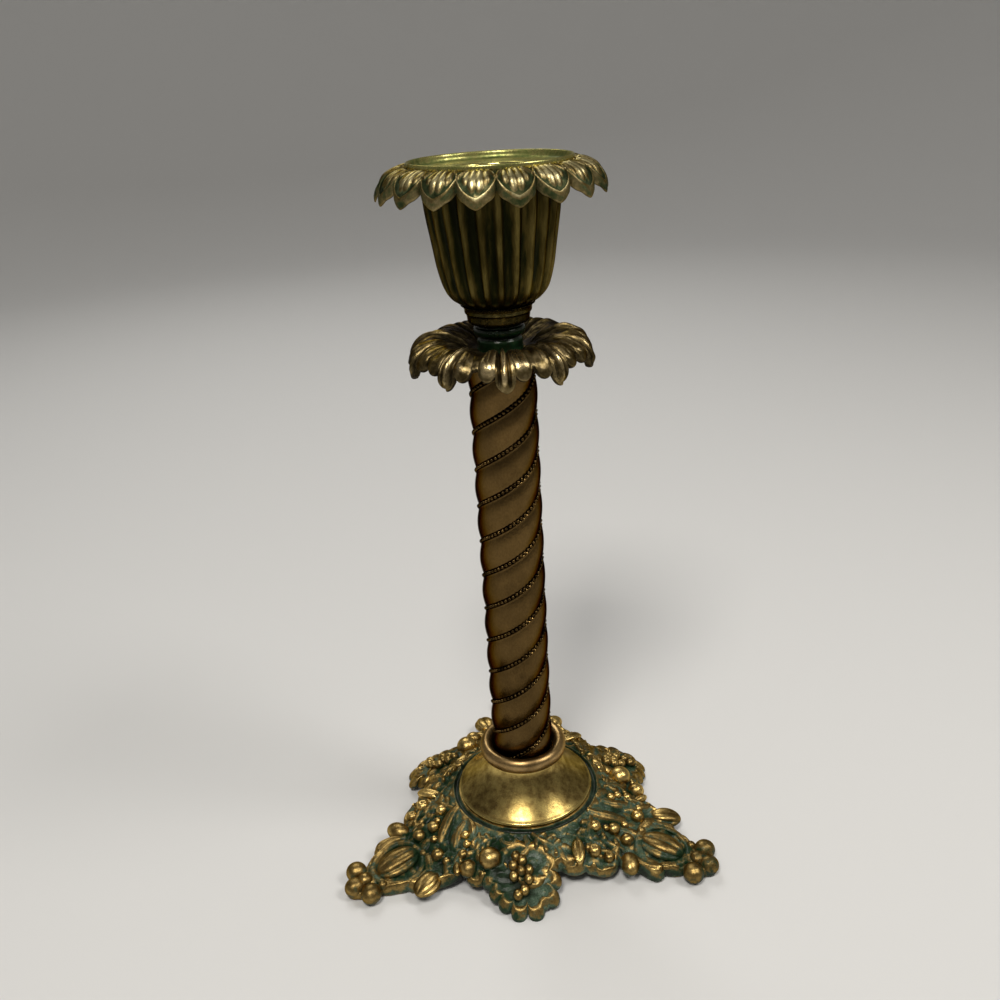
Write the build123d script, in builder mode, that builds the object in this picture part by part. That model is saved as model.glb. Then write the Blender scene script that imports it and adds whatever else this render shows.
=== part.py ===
from build123d import *
from math import atan2, cos, degrees, hypot, pi, radians, sin
import os

# Spiral candle holder of cast and spun brass, held together by one rod on its axis.
# The ground is z = 0 and the column's axis is Z. The base has three long arms, at
# 90, 210 and 330 degrees, and three short ones, each 60 degrees on from a long one.
# All lengths are in millimetres.

# Plan of the base casting
arm_count = 3
first_arm_angle = 90.0
short_arm_turn = 180.0 / arm_count
long_reach = 72.0
short_reach = 49.5
waist_radius = 39.0

# Height of the base casting: a seat for the dome, a falling plate and flat arm ends
seat_height = 14.0
seat_radius = 25.5
arm_height = 3.6
arm_flat_reach = 60.0
plate_wall = 2.4
plate_fall_power = 2
leaf_wall = 2.6
leaf_edge_height = 1.9
boss_radius = 8.5
boss_depth = 2.0

# Rod, nuts and washer that hold the stack together
rod_radius = 3.0
rod_clearance = 0.15
rod_tail = 1.5
nut_height = 4.6
nut_across_flats = 10.0
nut_sides = 6
nut_corner = 0.5
washer_radius = 7.0
washer_thickness = 1.2

# Spun foot dome and the cast ring on it
dome_rim_radius = 23.7
dome_rim_height = 0.9
dome_top_radius = 12.8
dome_height = 15.0
dome_wall = 1.0
dome_flare_power = 1.7
groove_depth = 0.9
ring_height = 5.2
ring_radius = 15.1

# Twisted column
column_radius = 10.5
valley_radius = 9.65
bead_radius = 0.62
column_length = 142.5
column_bore = 7.5
twist_starts = 3
twist_pitch = 37.1
twist_phase = 94.7
ring_gap = 0.5

# Collar of curled leaves
leaf_count = 10
first_leaf_angle = -89.5
collar_tip_radius = 28.3
collar_crest_radius = 19.9
collar_crest_height = 8.2
collar_drop = 1.9
collar_hub_radius = 8.4
collar_hub_thickness = 3.5
collar_wall = 2.2

# Turned neck
neck_length = 13.8
neck_drum_radius = 6.4

# Fluted cup
cup_foot_radius = 10.7
cup_mouth_radius = 19.9
cup_height = 35.4
cup_wall = 1.5
cup_floor = 3.2
flute_count = 23
flute_depth = 0.75
first_rib_angle = -86.5

# Petal pan and the spun socket in it
petal_count = 18
first_petal_angle = 1.6
petal_tip_radius = 32.9
petal_notch_radius = 29.6
petal_drop = 7.2
petal_edge = 2.1
petal_root_height = 3.5
pan_web = 1.8
spigot_length = 3.5
spigot_wall = 1.5
moving_gap = 0.3
seat_gap = 0.15
liner_radius = 23.5
liner_height = 3.1
liner_wall = 0.9
socket_radius = 11.0
socket_depth = 25.0

# Heights that follow from the stack, and one overrun for every cut
dome_top = seat_height + dome_height
collar_seat = dome_top + column_length
neck_seat = collar_seat + collar_hub_thickness
cup_seat = neck_seat + neck_length
cup_mouth = cup_seat + cup_height
pan_top = cup_mouth + pan_web
overrun = 1.0


def polar(radius, angle):
    """Point of the plan at a radius and an angle in degrees."""
    return (radius * cos(radians(angle)), radius * sin(radians(angle)))


def lerp(start, end, share):
    """Value a share of the way from start to end."""
    return start + (end - start) * share


def upright_plane(angle):
    """Upright plane through the axis, its own X outwards at an angle in degrees."""
    outward = Vector(1, 0, 0).rotate(Axis.Z, angle)
    return Plane(origin=(0, 0, 0), x_dir=outward, z_dir=outward.rotate(Axis.Z, -90))


def pod(half_length, half_width):
    """Round bar with ball ends, its long axis along X, centred on the origin."""
    with BuildPart() as shape:
        with BuildSketch():
            SlotOverall(2 * half_length, 2 * half_width)
            lower_half = (Align.CENTER, Align.MAX)
            Rectangle(2 * half_length, half_width, align=lower_half, mode=Mode.SUBTRACT)
        revolve(axis=Axis.X)
    return shape.part


def ball(radius):
    """Ball centred on the origin."""
    with BuildPart() as shape:
        Sphere(radius)
    return shape.part


def plate_top(reach):
    """Height of the base plate's upper face at a distance from the axis."""
    share = min(max((arm_flat_reach - reach) / (arm_flat_reach - seat_radius), 0), 1)
    return lerp(arm_height, seat_height, share**plate_fall_power)


def leaf_top(reach):
    """Height of a short arm's leaf, a cone from the plate's middle down to its tips."""
    share = (short_reach - reach) / (short_reach - seat_radius)
    return lerp(leaf_edge_height, seat_height, share)


# Base casting: where its ornaments lie. Each row of shares gives the place along and
# across an arm as shares of its reach, then the half length and half width as shares
# of the same reach, the turn in degrees and the lift in half widths.
melon_reach = 0.725 * long_reach
tip_side_reach = 0.905 * long_reach
tip_side_offset = 0.082 * long_reach
tip_side_radius = 0.05 * long_reach
tip_end_radius = 0.047 * long_reach
tip_lift_share = 0.93

berry_shares = [
    (0.561, 0.100, 0.033, 0.033, 0, 0.3),
    (0.573, -0.067, 0.033, 0.033, 0, 0.3),
    (0.500, -0.053, 0.031, 0.031, 0, 0.8),
    (0.424, -0.104, 0.031, 0.031, 0, 0.4),
    (0.414, 0.114, 0.023, 0.023, 0, 0.4),
    (0.432, 0.157, 0.020, 0.020, 0, 0.4),
    (0.472, 0.185, 0.025, 0.025, 0, 0.4),
]
pod_shares = [
    (0.525, 0.222, 0.045, 0.019, 60, 0.4),
    (0.415, -0.236, 0.072, 0.022, 62, 0.4),
    (0.430, -0.262, 0.072, 0.022, 62, 0.2),
    (0.615, -0.185, 0.068, 0.030, 75, 0.1),
    (0.650, -0.185, 0.066, 0.028, 75, 0.0),
    (0.440, 0.014, 0.085, 0.019, 20, 0.7),
    (0.472, 0.112, 0.060, 0.017, 58, 0.5),
    (0.490, -0.125, 0.065, 0.016, -62, 0.3),
]
bud_shares = [
    (0.665, 0.172, 0.070, 0.027, 22, 0.0),
    (0.672, 0.196, 0.074, 0.028, 22, 0.2),
    (0.680, 0.220, 0.070, 0.027, 22, -0.1),
]
melon_shares = [
    (0, 0.092, 0.027, 0.55),
    (-0.030, 0.086, 0.026, 0.35),
    (0.030, 0.086, 0.026, 0.35),
    (-0.056, 0.070, 0.023, 0.0),
    (0.056, 0.070, 0.023, 0.0),
]
fruit_shares = [
    (0.655, -0.275, 0.079, 0.079, 0, 0.3),
    (0.685, -0.425, 0.060, 0.060, 0, 0.2),
    (0.620, 0.434, 0.046, 0.046, 0, 0.4),
    (0.655, 0.530, 0.038, 0.038, 0, 0.4),
    (0.560, -0.130, 0.055, 0.030, 60, 0.3),
    (0.590, 0.070, 0.075, 0.030, 10, 0.2),
    (0.690, 0.225, 0.100, 0.036, 15, 0.0),
]
lobe_shares = [
    (0.958, -0.100, 0.060, 0.052, -8, 0.0),
    (0.960, 0.010, 0.066, 0.056, 0, 0.0),
    (0.895, 0.125, 0.070, 0.048, 25, 0.1),
    (0.795, 0.145, 0.064, 0.046, 40, 0.2),
    (0.700, 0.135, 0.062, 0.042, 60, 0.2),
    (0.900, -0.185, 0.064, 0.048, -30, 0.1),
    (0.835, -0.240, 0.056, 0.044, -45, 0.2),
    (0.750, -0.280, 0.066, 0.050, -70, 0.1),
]
grape_shares = [
    (0.670, -0.100, 0.032, 0.027, 0, 0.7),
    (0.697, -0.060, 0.036, 0.030, 0, 0.9),
    (0.723, -0.122, 0.034, 0.028, 0, 0.7),
    (0.757, -0.070, 0.038, 0.028, 0, 0.9),
    (0.757, -0.018, 0.034, 0.028, 0, 0.6),
    (0.790, -0.120, 0.036, 0.028, 0, 0.7),
    (0.815, -0.030, 0.034, 0.026, 0, 0.7),
    (0.872, -0.056, 0.036, 0.029, 0, 0.7),
    (0.897, -0.102, 0.040, 0.030, 0, 0.7),
]


def laid(shares, reach, surface, axis_turn):
    """Pods and balls that sit on a surface beside an arm's axis, at given shares of its reach."""
    pieces = []
    for along, across, long_share, wide_share, turn, lift in shares:
        x, y = along * reach, across * reach
        width = wide_share * reach
        shape = ball(width) if long_share == wide_share else pod(long_share * reach, width)
        height = surface(hypot(x, y)) + lift * width
        place = Location((0, 0, 0), (0, 0, axis_turn)) * Location((x, y, height), (0, 0, turn))
        pieces.append(shape.moved(place))
    return pieces


def slope_angle(surface, reach, span):
    """Downward slope in degrees of a surface between two reaches a span apart."""
    return degrees(atan2(surface(reach - span) - surface(reach + span), 2 * span))


def melon_ribs():
    """Ribs of the melon in an arm's cartouche, side by side along the arm."""
    tilt = slope_angle(plate_top, melon_reach, tip_side_offset)
    ribs = []
    for across, long_share, wide_share, lift in melon_shares:
        width = wide_share * long_reach
        height = plate_top(melon_reach) + lift * width
        place = Location((melon_reach, across * long_reach, height), (0, tilt, 0))
        ribs.append(pod(long_share * long_reach, width).moved(place))
    return ribs


def arm_tip():
    """Three balls and a boss at the end of a long arm, standing on the ground."""
    balls = []
    for side in (-1, 1):
        place = Location((tip_side_reach, side * tip_side_offset, tip_side_radius * tip_lift_share))
        balls.append(ball(tip_side_radius).moved(place))
    end_place = Location((long_reach - tip_end_radius, 0, tip_end_radius * tip_lift_share))
    balls.append(ball(tip_end_radius).moved(end_place))
    boss_place = Location((tip_side_reach, 0, arm_height))
    balls.append(ball(tip_side_radius).moved(boss_place))
    return balls


cartouche_half_length = 0.128 * long_reach
cartouche_half_width = 0.134 * long_reach
rim_width = 0.020 * long_reach
rim_height = 0.016 * long_reach


def cartouche_rim():
    """Raised oval border round the melon, on a plane tilted with the arm."""
    tilt = slope_angle(plate_top, melon_reach, tip_side_offset)
    floor = Plane((melon_reach, 0, plate_top(melon_reach))).rotated((0, tilt, 0))
    with BuildPart() as shape:
        with BuildSketch(floor.offset(-plate_wall / 2)):
            Ellipse(cartouche_half_length, cartouche_half_width)
            Ellipse(
                cartouche_half_length - rim_width,
                cartouche_half_width - rim_width,
                mode=Mode.SUBTRACT,
            )
        extrude(amount=plate_wall / 2 + rim_height)
    return shape.part


leaf_inner_share = 0.15
leaf_centre_shares = (0.80, -0.045)
leaf_radius_share = 0.20


def leaf_plate():
    """Sloping plate of a short arm's vine leaf, cut from a cone."""
    inner_reach = lerp(seat_radius, short_reach, leaf_inner_share)
    leaf_centre = tuple(share * short_reach for share in leaf_centre_shares)
    with BuildPart() as shape:
        with BuildSketch(Plane.XZ):
            with BuildLine():
                Polyline(
                    (inner_reach, leaf_top(inner_reach)),
                    (short_reach, leaf_top(short_reach)),
                    (short_reach, leaf_top(short_reach) - leaf_wall),
                    (inner_reach, leaf_top(inner_reach) - leaf_wall),
                    close=True,
                )
            make_face()
        revolve(axis=Axis.Z)
        with BuildSketch():
            with Locations(leaf_centre):
                Circle(leaf_radius_share * short_reach)
        extrude(amount=seat_height, mode=Mode.INTERSECT)
    return shape.part


def base_third():
    """All that is fused to the plate on one third of the base, its long arm along X."""
    pieces = laid(berry_shares + pod_shares + bud_shares, long_reach, plate_top, 0)
    pieces += melon_ribs() + arm_tip() + [cartouche_rim()]
    pieces += laid(fruit_shares, short_reach, plate_top, short_arm_turn)
    pieces += laid(lobe_shares + grape_shares, short_reach, leaf_top, short_arm_turn)
    pieces.append(leaf_plate().moved(Location((0, 0, 0), (0, 0, short_arm_turn))))
    return pieces


# Plan of a long arm: places along and half widths, as shares of its reach
arm_edge_shares = [
    (0.40, 0.300),
    (0.50, 0.255),
    (0.585, 0.205),
    (0.70, 0.155),
    (0.80, 0.125),
    (0.86, 0.075),
    (0.92, 0.055),
]
right_edge = [(along * long_reach, across * long_reach) for along, across in arm_edge_shares]
left_edge = [(along, -across) for along, across in reversed(right_edge)]

with BuildSketch() as arm_outline:
    with BuildLine():
        Polyline((0, 0), *right_edge, *left_edge, close=True)
    make_face()

plate_step_shares = [0, 0.25, 0.5, 0.75, 1]
plate_reaches = [lerp(seat_radius, arm_flat_reach, share) for share in plate_step_shares]
plate_curve = [(reach, plate_top(reach)) for reach in plate_reaches] + [(long_reach, arm_height)]
under_curve = [(reach, height - plate_wall) for reach, height in reversed(plate_curve)]
rod_hole = rod_radius + rod_clearance
boss_bottom = seat_height - plate_wall - boss_depth
ornaments = base_third()

with BuildPart() as base_casting:
    with BuildSketch(Plane.XZ):
        with BuildLine():
            Polyline(
                (rod_hole, seat_height),
                *plate_curve,
                *under_curve,
                (boss_radius, seat_height - plate_wall),
                (boss_radius, boss_bottom),
                (rod_hole, boss_bottom),
                close=True,
            )
        make_face()
    revolve(axis=Axis.Z)
    with BuildSketch():
        Circle(waist_radius)
        with PolarLocations(0, arm_count, first_arm_angle):
            add(arm_outline.sketch)
    extrude(amount=seat_height + overrun, mode=Mode.INTERSECT)
    with PolarLocations(0, arm_count, first_arm_angle):
        add(ornaments)
    split(bisect_by=Plane.XY, keep=Keep.TOP)
    with BuildSketch(Plane.XY.offset(seat_height)):
        Circle(dome_rim_radius + groove_depth)
    extrude(amount=seat_height, mode=Mode.SUBTRACT)
    with BuildSketch(Plane.XZ):
        with Locations((dome_rim_radius + groove_depth, seat_height)):
            Circle(groove_depth)
    revolve(axis=Axis.Z, mode=Mode.SUBTRACT)


# Foot dome: a flared bell of sheet brass, open below, flat on top with a hole for the rod
dome_shoulder = seat_height + dome_rim_height
dome_curve_shares = (0, 0.15, 0.35, 0.6, 1.0)


def dome_curve(inset):
    """Points of the dome's flare from its rim to its top, moved in by an inset."""
    points = []
    for share in dome_curve_shares:
        radius = lerp(dome_top_radius, dome_rim_radius, (1 - share) ** dome_flare_power)
        points.append((radius - inset, lerp(dome_shoulder, dome_top - inset, share)))
    return points


with BuildPart() as foot_dome:
    with BuildSketch(Plane.XZ):
        with BuildLine():
            outer = dome_curve(0)
            inner = dome_curve(dome_wall)
            Spline(*outer)
            Polyline(
                outer[-1],
                (rod_hole, dome_top),
                (rod_hole, dome_top - dome_wall),
                inner[-1],
            )
            Spline(*inner)
            Polyline(
                inner[0],
                (inner[0][0], seat_height),
                (dome_rim_radius, seat_height),
                outer[0],
            )
        make_face()
    revolve(axis=Axis.Z)


# Foot ring: round outside, straight bore with an eased top edge, on the dome round the column
ring_bore = column_radius + ring_gap
ring_bulge = 0.6 * (ring_radius - ring_bore)
ring_ease = 0.2 * ring_height
ring_top = dome_top + ring_height

with BuildPart() as foot_ring:
    with BuildSketch(Plane.XZ):
        with BuildLine():
            ThreePointArc(
                (ring_radius - ring_bulge, dome_top),
                (ring_radius, dome_top + ring_height / 2),
                (ring_radius - ring_bulge, ring_top),
            )
            ThreePointArc(
                (ring_radius - ring_bulge, ring_top),
                (ring_bore + 0.3 * ring_ease, ring_top - 0.3 * ring_ease),
                (ring_bore, ring_top - ring_ease),
            )
            Polyline(
                (ring_bore, ring_top - ring_ease),
                (ring_bore, dome_top),
                (ring_radius - ring_bulge, dome_top),
            )
        make_face()
    revolve(axis=Axis.Z)


# Column: three round bands wound as a right-handed screw, with a beaded cord in each valley
band_angle = 360.0 / twist_starts
bead_angle = degrees(bead_radius / twist_pitch * 2 * pi)
column_twist = 360.0 * column_length / twist_pitch

with BuildSketch(Plane.XY.offset(dome_top)) as column_section:
    with BuildLine():
        for start in range(twist_starts):
            valley = twist_phase + start * band_angle
            ThreePointArc(
                polar(valley_radius, valley - bead_angle),
                polar(valley_radius + bead_radius, valley),
                polar(valley_radius, valley + bead_angle),
            )
            ThreePointArc(
                polar(valley_radius, valley + bead_angle),
                polar(column_radius, valley + band_angle / 2),
                polar(valley_radius, valley + band_angle - bead_angle),
            )
    make_face()

with BuildPart() as column:
    add(
        Solid.extrude_linear_with_rotation(
            column_section.sketch.face(),
            (0, 0, dome_top),
            (0, 0, column_length),
            column_twist,
        )
    )
    with BuildSketch(Plane.XY.offset(dome_top)):
        Circle(column_bore)
    extrude(amount=column_length, mode=Mode.SUBTRACT)


# Collar: ten leaves that rise from a hub, roll over a crest and curl down to their tips
collar_crest = collar_seat + collar_crest_height
collar_tip_height = collar_seat - collar_drop
leaf_rise_shares = (0.38, 0.5)
leaf_roll_shares = (0.72, 0.26)
leaf_hollow_share = 0.5
roll_wall_shares = (0.7, 0.8)
parting_end_share = 0.2
leaf_roll_radius = lerp(collar_crest_radius, collar_tip_radius, leaf_roll_shares[0])
leaf_roll_height = lerp(collar_crest, collar_tip_height, leaf_roll_shares[1])
collar_rise = (
    lerp(collar_hub_radius, collar_crest_radius, leaf_rise_shares[0]),
    lerp(neck_seat, collar_crest, leaf_rise_shares[1]),
)
collar_hollow = (
    lerp(collar_hub_radius, collar_crest_radius, leaf_hollow_share),
    lerp(collar_seat, collar_crest - collar_wall, leaf_hollow_share),
)
collar_top_curve = [
    (collar_hub_radius, neck_seat),
    collar_rise,
    (collar_crest_radius, collar_crest),
    (leaf_roll_radius, leaf_roll_height),
    (collar_tip_radius, collar_tip_height),
]
collar_under_curve = [
    (collar_hub_radius, collar_seat),
    collar_hollow,
    (collar_crest_radius, collar_crest - collar_wall),
    (
        leaf_roll_radius - collar_wall * roll_wall_shares[0],
        leaf_roll_height - collar_wall * roll_wall_shares[1],
    ),
    (collar_tip_radius - collar_wall, collar_tip_height),
]
leaf_lobe_shares = [
    (0.890, 0.0, 0.110, 0.085),
    (0.850, 9.0, 0.095, 0.075),
    (0.850, -9.0, 0.095, 0.075),
    (0.775, 14.3, 0.090, 0.065),
    (0.775, -14.3, 0.090, 0.065),
]

with BuildPart() as collar:
    with BuildSketch(Plane.XZ):
        with BuildLine():
            Spline(*collar_top_curve)
            Line(collar_top_curve[-1], collar_under_curve[-1])
            Spline(*collar_under_curve)
            Polyline(
                collar_under_curve[0],
                (rod_hole, collar_seat),
                (rod_hole, neck_seat),
                collar_top_curve[0],
            )
        make_face()
    revolve(axis=Axis.Z)
    with BuildSketch(Plane.XY.offset(collar_tip_height - overrun)):
        Circle(collar_crest_radius * 1.09)
        for reach_share, side_angle, length_share, width_share in leaf_lobe_shares:
            lobe_reach = reach_share * collar_tip_radius
            with PolarLocations(lobe_reach, leaf_count, first_leaf_angle + side_angle):
                Ellipse(length_share * collar_tip_radius, width_share * collar_tip_radius)
    extrude(amount=collar_crest - collar_tip_height + 2 * overrun, mode=Mode.INTERSECT)
    parting_angle = first_leaf_angle + 180.0 / leaf_count
    for path_angle, cord, cord_mode in (
        (parting_angle, 0.45 * collar_wall, Mode.SUBTRACT),
        (first_leaf_angle, 0.32 * collar_wall, Mode.ADD),
    ):
        leaf_plane = upright_plane(path_angle)
        cord_end = lerp(collar_tip_height, leaf_roll_height, parting_end_share)
        with BuildLine(leaf_plane) as leaf_path:
            Spline(*collar_top_curve[1:-1], (collar_tip_radius - cord, cord_end))
        with BuildSketch(Plane(leaf_path.line @ 0, z_dir=leaf_path.line % 0)) as leaf_cord:
            Circle(cord)
        with PolarLocations(0, leaf_count):
            add(sweep(leaf_cord.sketch, path=leaf_path.line, mode=Mode.PRIVATE), mode=cord_mode)


# Neck: a turned spool of drum, groove, ring, cove and flared top, as shares of the cup's
# foot radius and of the neck's length
neck_drum_share = 0.27
neck_shares = [
    (0.55, 0.33),
    (0.70, 0.37),
    (0.72, 0.46),
    (0.64, 0.53),
    (0.84, 0.64),
    (0.87, 0.74),
    (0.90, 0.80),
]

with BuildPart() as neck_spool:
    with BuildSketch(Plane.XZ):
        with BuildLine():
            neck_curve = [
                (radius_share * cup_foot_radius, lerp(neck_seat, cup_seat, height_share))
                for radius_share, height_share in neck_shares
            ]
            drum_top = (neck_drum_radius, lerp(neck_seat, cup_seat, neck_drum_share))
            Polyline((neck_drum_radius, neck_seat), drum_top, *neck_curve, (cup_foot_radius, cup_seat))
            Polyline(
                (cup_foot_radius, cup_seat),
                (rod_hole, cup_seat),
                (rod_hole, neck_seat),
                (neck_drum_radius, neck_seat),
            )
        make_face()
    revolve(axis=Axis.Z)


# Cup: a bell with concave flutes between sharp ribs. Each row gives the height as a share
# of the cup's height, the radius as a share of the mouth's and the flutes' depth as a share.
cup_shares = [
    (0.0, 0.538, 0.15),
    (0.056, 0.676, 0.6),
    (0.147, 0.774, 1.0),
    (0.305, 0.849, 1.0),
    (0.483, 0.897, 1.0),
    (0.74, 0.965, 1.0),
    (1.0, 1.0, 1.0),
]
flute_angle = 360.0 / flute_count

with BuildPart() as cup:
    for height_share, radius_share, depth_share in cup_shares:
        rib_radius = radius_share * cup_mouth_radius
        flute_radius = rib_radius - depth_share * flute_depth
        flute_radius -= rib_radius * (1 - cos(radians(flute_angle / 2))) * depth_share
        with BuildSketch(Plane.XY.offset(lerp(cup_seat, cup_mouth, height_share))):
            with BuildLine():
                for flute in range(flute_count):
                    rib = first_rib_angle + flute * flute_angle
                    ThreePointArc(
                        polar(rib_radius, rib),
                        polar(flute_radius, rib + flute_angle / 2),
                        polar(rib_radius, rib + flute_angle),
                    )
            make_face()
    loft()
    with BuildSketch(Plane.XZ):
        with BuildLine():
            wall_inset = cup_wall + flute_depth
            hollow_curve = [
                (radius_share * cup_mouth_radius - wall_inset, lerp(cup_seat, cup_mouth, height_share))
                for height_share, radius_share, depth_share in cup_shares[2:]
            ]
            floor_corner = (cup_foot_radius - cup_wall, cup_seat + cup_floor)
            Polyline((0, cup_seat + cup_floor), floor_corner, hollow_curve[0])
            Spline(*hollow_curve)
            Polyline(
                hollow_curve[-1],
                (hollow_curve[-1][0], cup_mouth + overrun),
                (0, cup_mouth + overrun),
                (0, cup_seat + cup_floor),
            )
        make_face()
    revolve(axis=Axis.Z, mode=Mode.SUBTRACT)
    with BuildSketch(Plane.XY.offset(cup_seat)):
        Circle(rod_hole)
    extrude(amount=cup_floor, mode=Mode.SUBTRACT)
    bore_radius = hollow_curve[-1][0]


# Petal pan: a flat web that rests on the cup's mouth, a spigot that centres it there,
# and a ring of drooping petals with pointed tips
petal_root_radius = liner_radius + seat_gap
socket_hole = socket_radius + liner_wall + seat_gap
spigot_radius = bore_radius - moving_gap
petal_top = pan_top + petal_root_height / 2
petal_reach = petal_tip_radius - petal_root_radius
petal_top_curve = [
    (petal_root_radius, petal_top),
    (petal_root_radius + 0.45 * petal_reach, petal_top - 0.12 * petal_drop),
    (petal_root_radius + 0.80 * petal_reach, petal_top - 0.48 * petal_drop),
    (petal_tip_radius, petal_top - petal_drop),
]
petal_under_curve = [
    (petal_root_radius - petal_edge, cup_mouth),
    (petal_root_radius + 0.30 * petal_reach, cup_mouth - 0.10 * petal_drop),
    (petal_root_radius + 0.62 * petal_reach, cup_mouth - 0.36 * petal_drop),
    (petal_tip_radius - petal_edge / 2, petal_top - petal_drop - petal_edge),
]
petal_angle = 360.0 / petal_count
petal_shoulder_share = 0.72
petal_shoulder_radius = lerp(petal_notch_radius, petal_tip_radius, petal_shoulder_share)

with BuildPart() as petal_pan:
    with BuildSketch(Plane.XZ):
        with BuildLine():
            Spline(*petal_top_curve)
            Line(petal_top_curve[-1], petal_under_curve[-1])
            Spline(*petal_under_curve)
            Polyline(
                petal_under_curve[0],
                (spigot_radius, cup_mouth),
                (spigot_radius, cup_mouth - spigot_length),
                (spigot_radius - spigot_wall, cup_mouth - spigot_length),
                (spigot_radius - spigot_wall, cup_mouth),
                (socket_hole, cup_mouth),
                (socket_hole, pan_top),
                (petal_root_radius, pan_top),
                petal_top_curve[0],
            )
        make_face()
    revolve(axis=Axis.Z)
    with BuildSketch(Plane.XY.offset(petal_top - petal_drop - petal_edge - overrun)):
        with BuildLine():
            for petal in range(petal_count):
                tip = first_petal_angle + petal * petal_angle
                for side in (-1, 1):
                    ThreePointArc(
                        polar(petal_tip_radius, tip),
                        polar(petal_shoulder_radius, tip + side * petal_angle / 4),
                        polar(petal_notch_radius, tip + side * petal_angle / 2),
                    )
        make_face()
    extrude(amount=petal_drop + petal_edge + 3 * overrun, mode=Mode.INTERSECT)
    vein = 0.35 * petal_edge
    vein_plane = upright_plane(first_petal_angle + petal_angle / 2)
    with BuildLine(vein_plane) as vein_path:
        Spline((petal_root_radius + vein, petal_top + vein / 2), *petal_top_curve[1:-1])
    with BuildSketch(Plane(vein_path.line @ 0, z_dir=vein_path.line % 0)) as vein_section:
        Circle(vein)
    with PolarLocations(0, petal_count):
        add(sweep(vein_section.sketch, path=vein_path.line, mode=Mode.PRIVATE), mode=Mode.SUBTRACT)


# Socket liner: a spun dish with a raised lip and a closed tube for the candle
liner_top = pan_top + liner_height
socket_floor = pan_top + liner_wall - socket_depth

with BuildPart() as socket_liner:
    with BuildSketch(Plane.XZ):
        with BuildLine():
            Polyline(
                (0, socket_floor),
                (socket_radius, socket_floor),
                (socket_radius, pan_top + liner_wall),
                (liner_radius - 1.5 * liner_wall, pan_top + liner_wall),
                (liner_radius - liner_wall, liner_top - liner_wall / 2),
            )
            ThreePointArc(
                (liner_radius - liner_wall, liner_top - liner_wall / 2),
                (liner_radius - liner_wall / 2, liner_top),
                (liner_radius, liner_top - liner_wall / 2),
            )
            Polyline(
                (liner_radius, liner_top - liner_wall / 2),
                (liner_radius, pan_top),
                (socket_radius + liner_wall, pan_top),
                (socket_radius + liner_wall, socket_floor - liner_wall),
                (0, socket_floor - liner_wall),
                (0, socket_floor),
            )
        make_face()
    revolve(axis=Axis.Z)


# Rod and its fasteners
nut_seat = boss_bottom - washer_thickness
rod_bottom = nut_seat - nut_height - rod_tail
rod_top = cup_seat + cup_floor + nut_height + rod_tail

with BuildPart() as tie_rod:
    with BuildSketch(Plane.XY.offset(rod_bottom)):
        Circle(rod_radius)
    extrude(amount=rod_top - rod_bottom)
    chamfer(tie_rod.edges().filter_by(GeomType.CIRCLE), length=nut_corner)

with BuildPart() as lower_washer:
    with BuildSketch(Plane.XY.offset(nut_seat)):
        Circle(washer_radius)
        Circle(rod_hole, mode=Mode.SUBTRACT)
    extrude(amount=washer_thickness)


def hexagon_nut(bottom):
    """Hexagonal nut with chamfered corners, standing at a given height on the rod."""
    with BuildPart() as nut:
        with BuildSketch(Plane.XY.offset(bottom)):
            RegularPolygon(nut_across_flats / 2, nut_sides, major_radius=False)
        extrude(amount=nut_height)
        with BuildSketch(Plane.XY.offset(bottom)):
            Circle(nut_across_flats / 2 + nut_corner)
        extrude(amount=nut_height, mode=Mode.INTERSECT)
        with BuildSketch(Plane.XY.offset(bottom)):
            Circle(rod_hole)
        extrude(amount=nut_height, mode=Mode.SUBTRACT)
    return nut.part


with BuildPart() as lower_nut:
    add(hexagon_nut(nut_seat - nut_height))

with BuildPart() as upper_nut:
    add(hexagon_nut(cup_seat + cup_floor))


# Each piece is written under its own name
base_casting.part.label = "base_casting"
foot_dome.part.label = "foot_dome"
foot_ring.part.label = "foot_ring"
column.part.label = "column"
collar.part.label = "collar"
neck_spool.part.label = "neck_spool"
cup.part.label = "cup"
petal_pan.part.label = "petal_pan"
socket_liner.part.label = "socket_liner"
tie_rod.part.label = "tie_rod"
lower_washer.part.label = "lower_washer"
lower_nut.part.label = "lower_nut"
upper_nut.part.label = "upper_nut"

os.makedirs("parts", exist_ok=True)
export_step(base_casting.part, "parts/base_casting.step")
export_step(foot_dome.part, "parts/foot_dome.step")
export_step(foot_ring.part, "parts/foot_ring.step")
export_step(column.part, "parts/column.step")
export_step(collar.part, "parts/collar.step")
export_step(neck_spool.part, "parts/neck_spool.step")
export_step(cup.part, "parts/cup.step")
export_step(petal_pan.part, "parts/petal_pan.step")
export_step(socket_liner.part, "parts/socket_liner.step")
export_step(tie_rod.part, "parts/tie_rod.step")
export_step(lower_washer.part, "parts/lower_washer.step")
export_step(lower_nut.part, "parts/lower_nut.step")
export_step(upper_nut.part, "parts/upper_nut.step")
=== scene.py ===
"""Looks of the twisted brass candlestick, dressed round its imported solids.

Shapes are worked out in millimetres, with the column's axis as Z and the table at z = 0,
and go into the meshes in metres. The base's long arms lie at 90, 210 and 330 degrees and
its short arms, which end in vine leaves, halfway between them.
"""

import bpy
import numpy as np
from mathutils import Matrix


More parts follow.
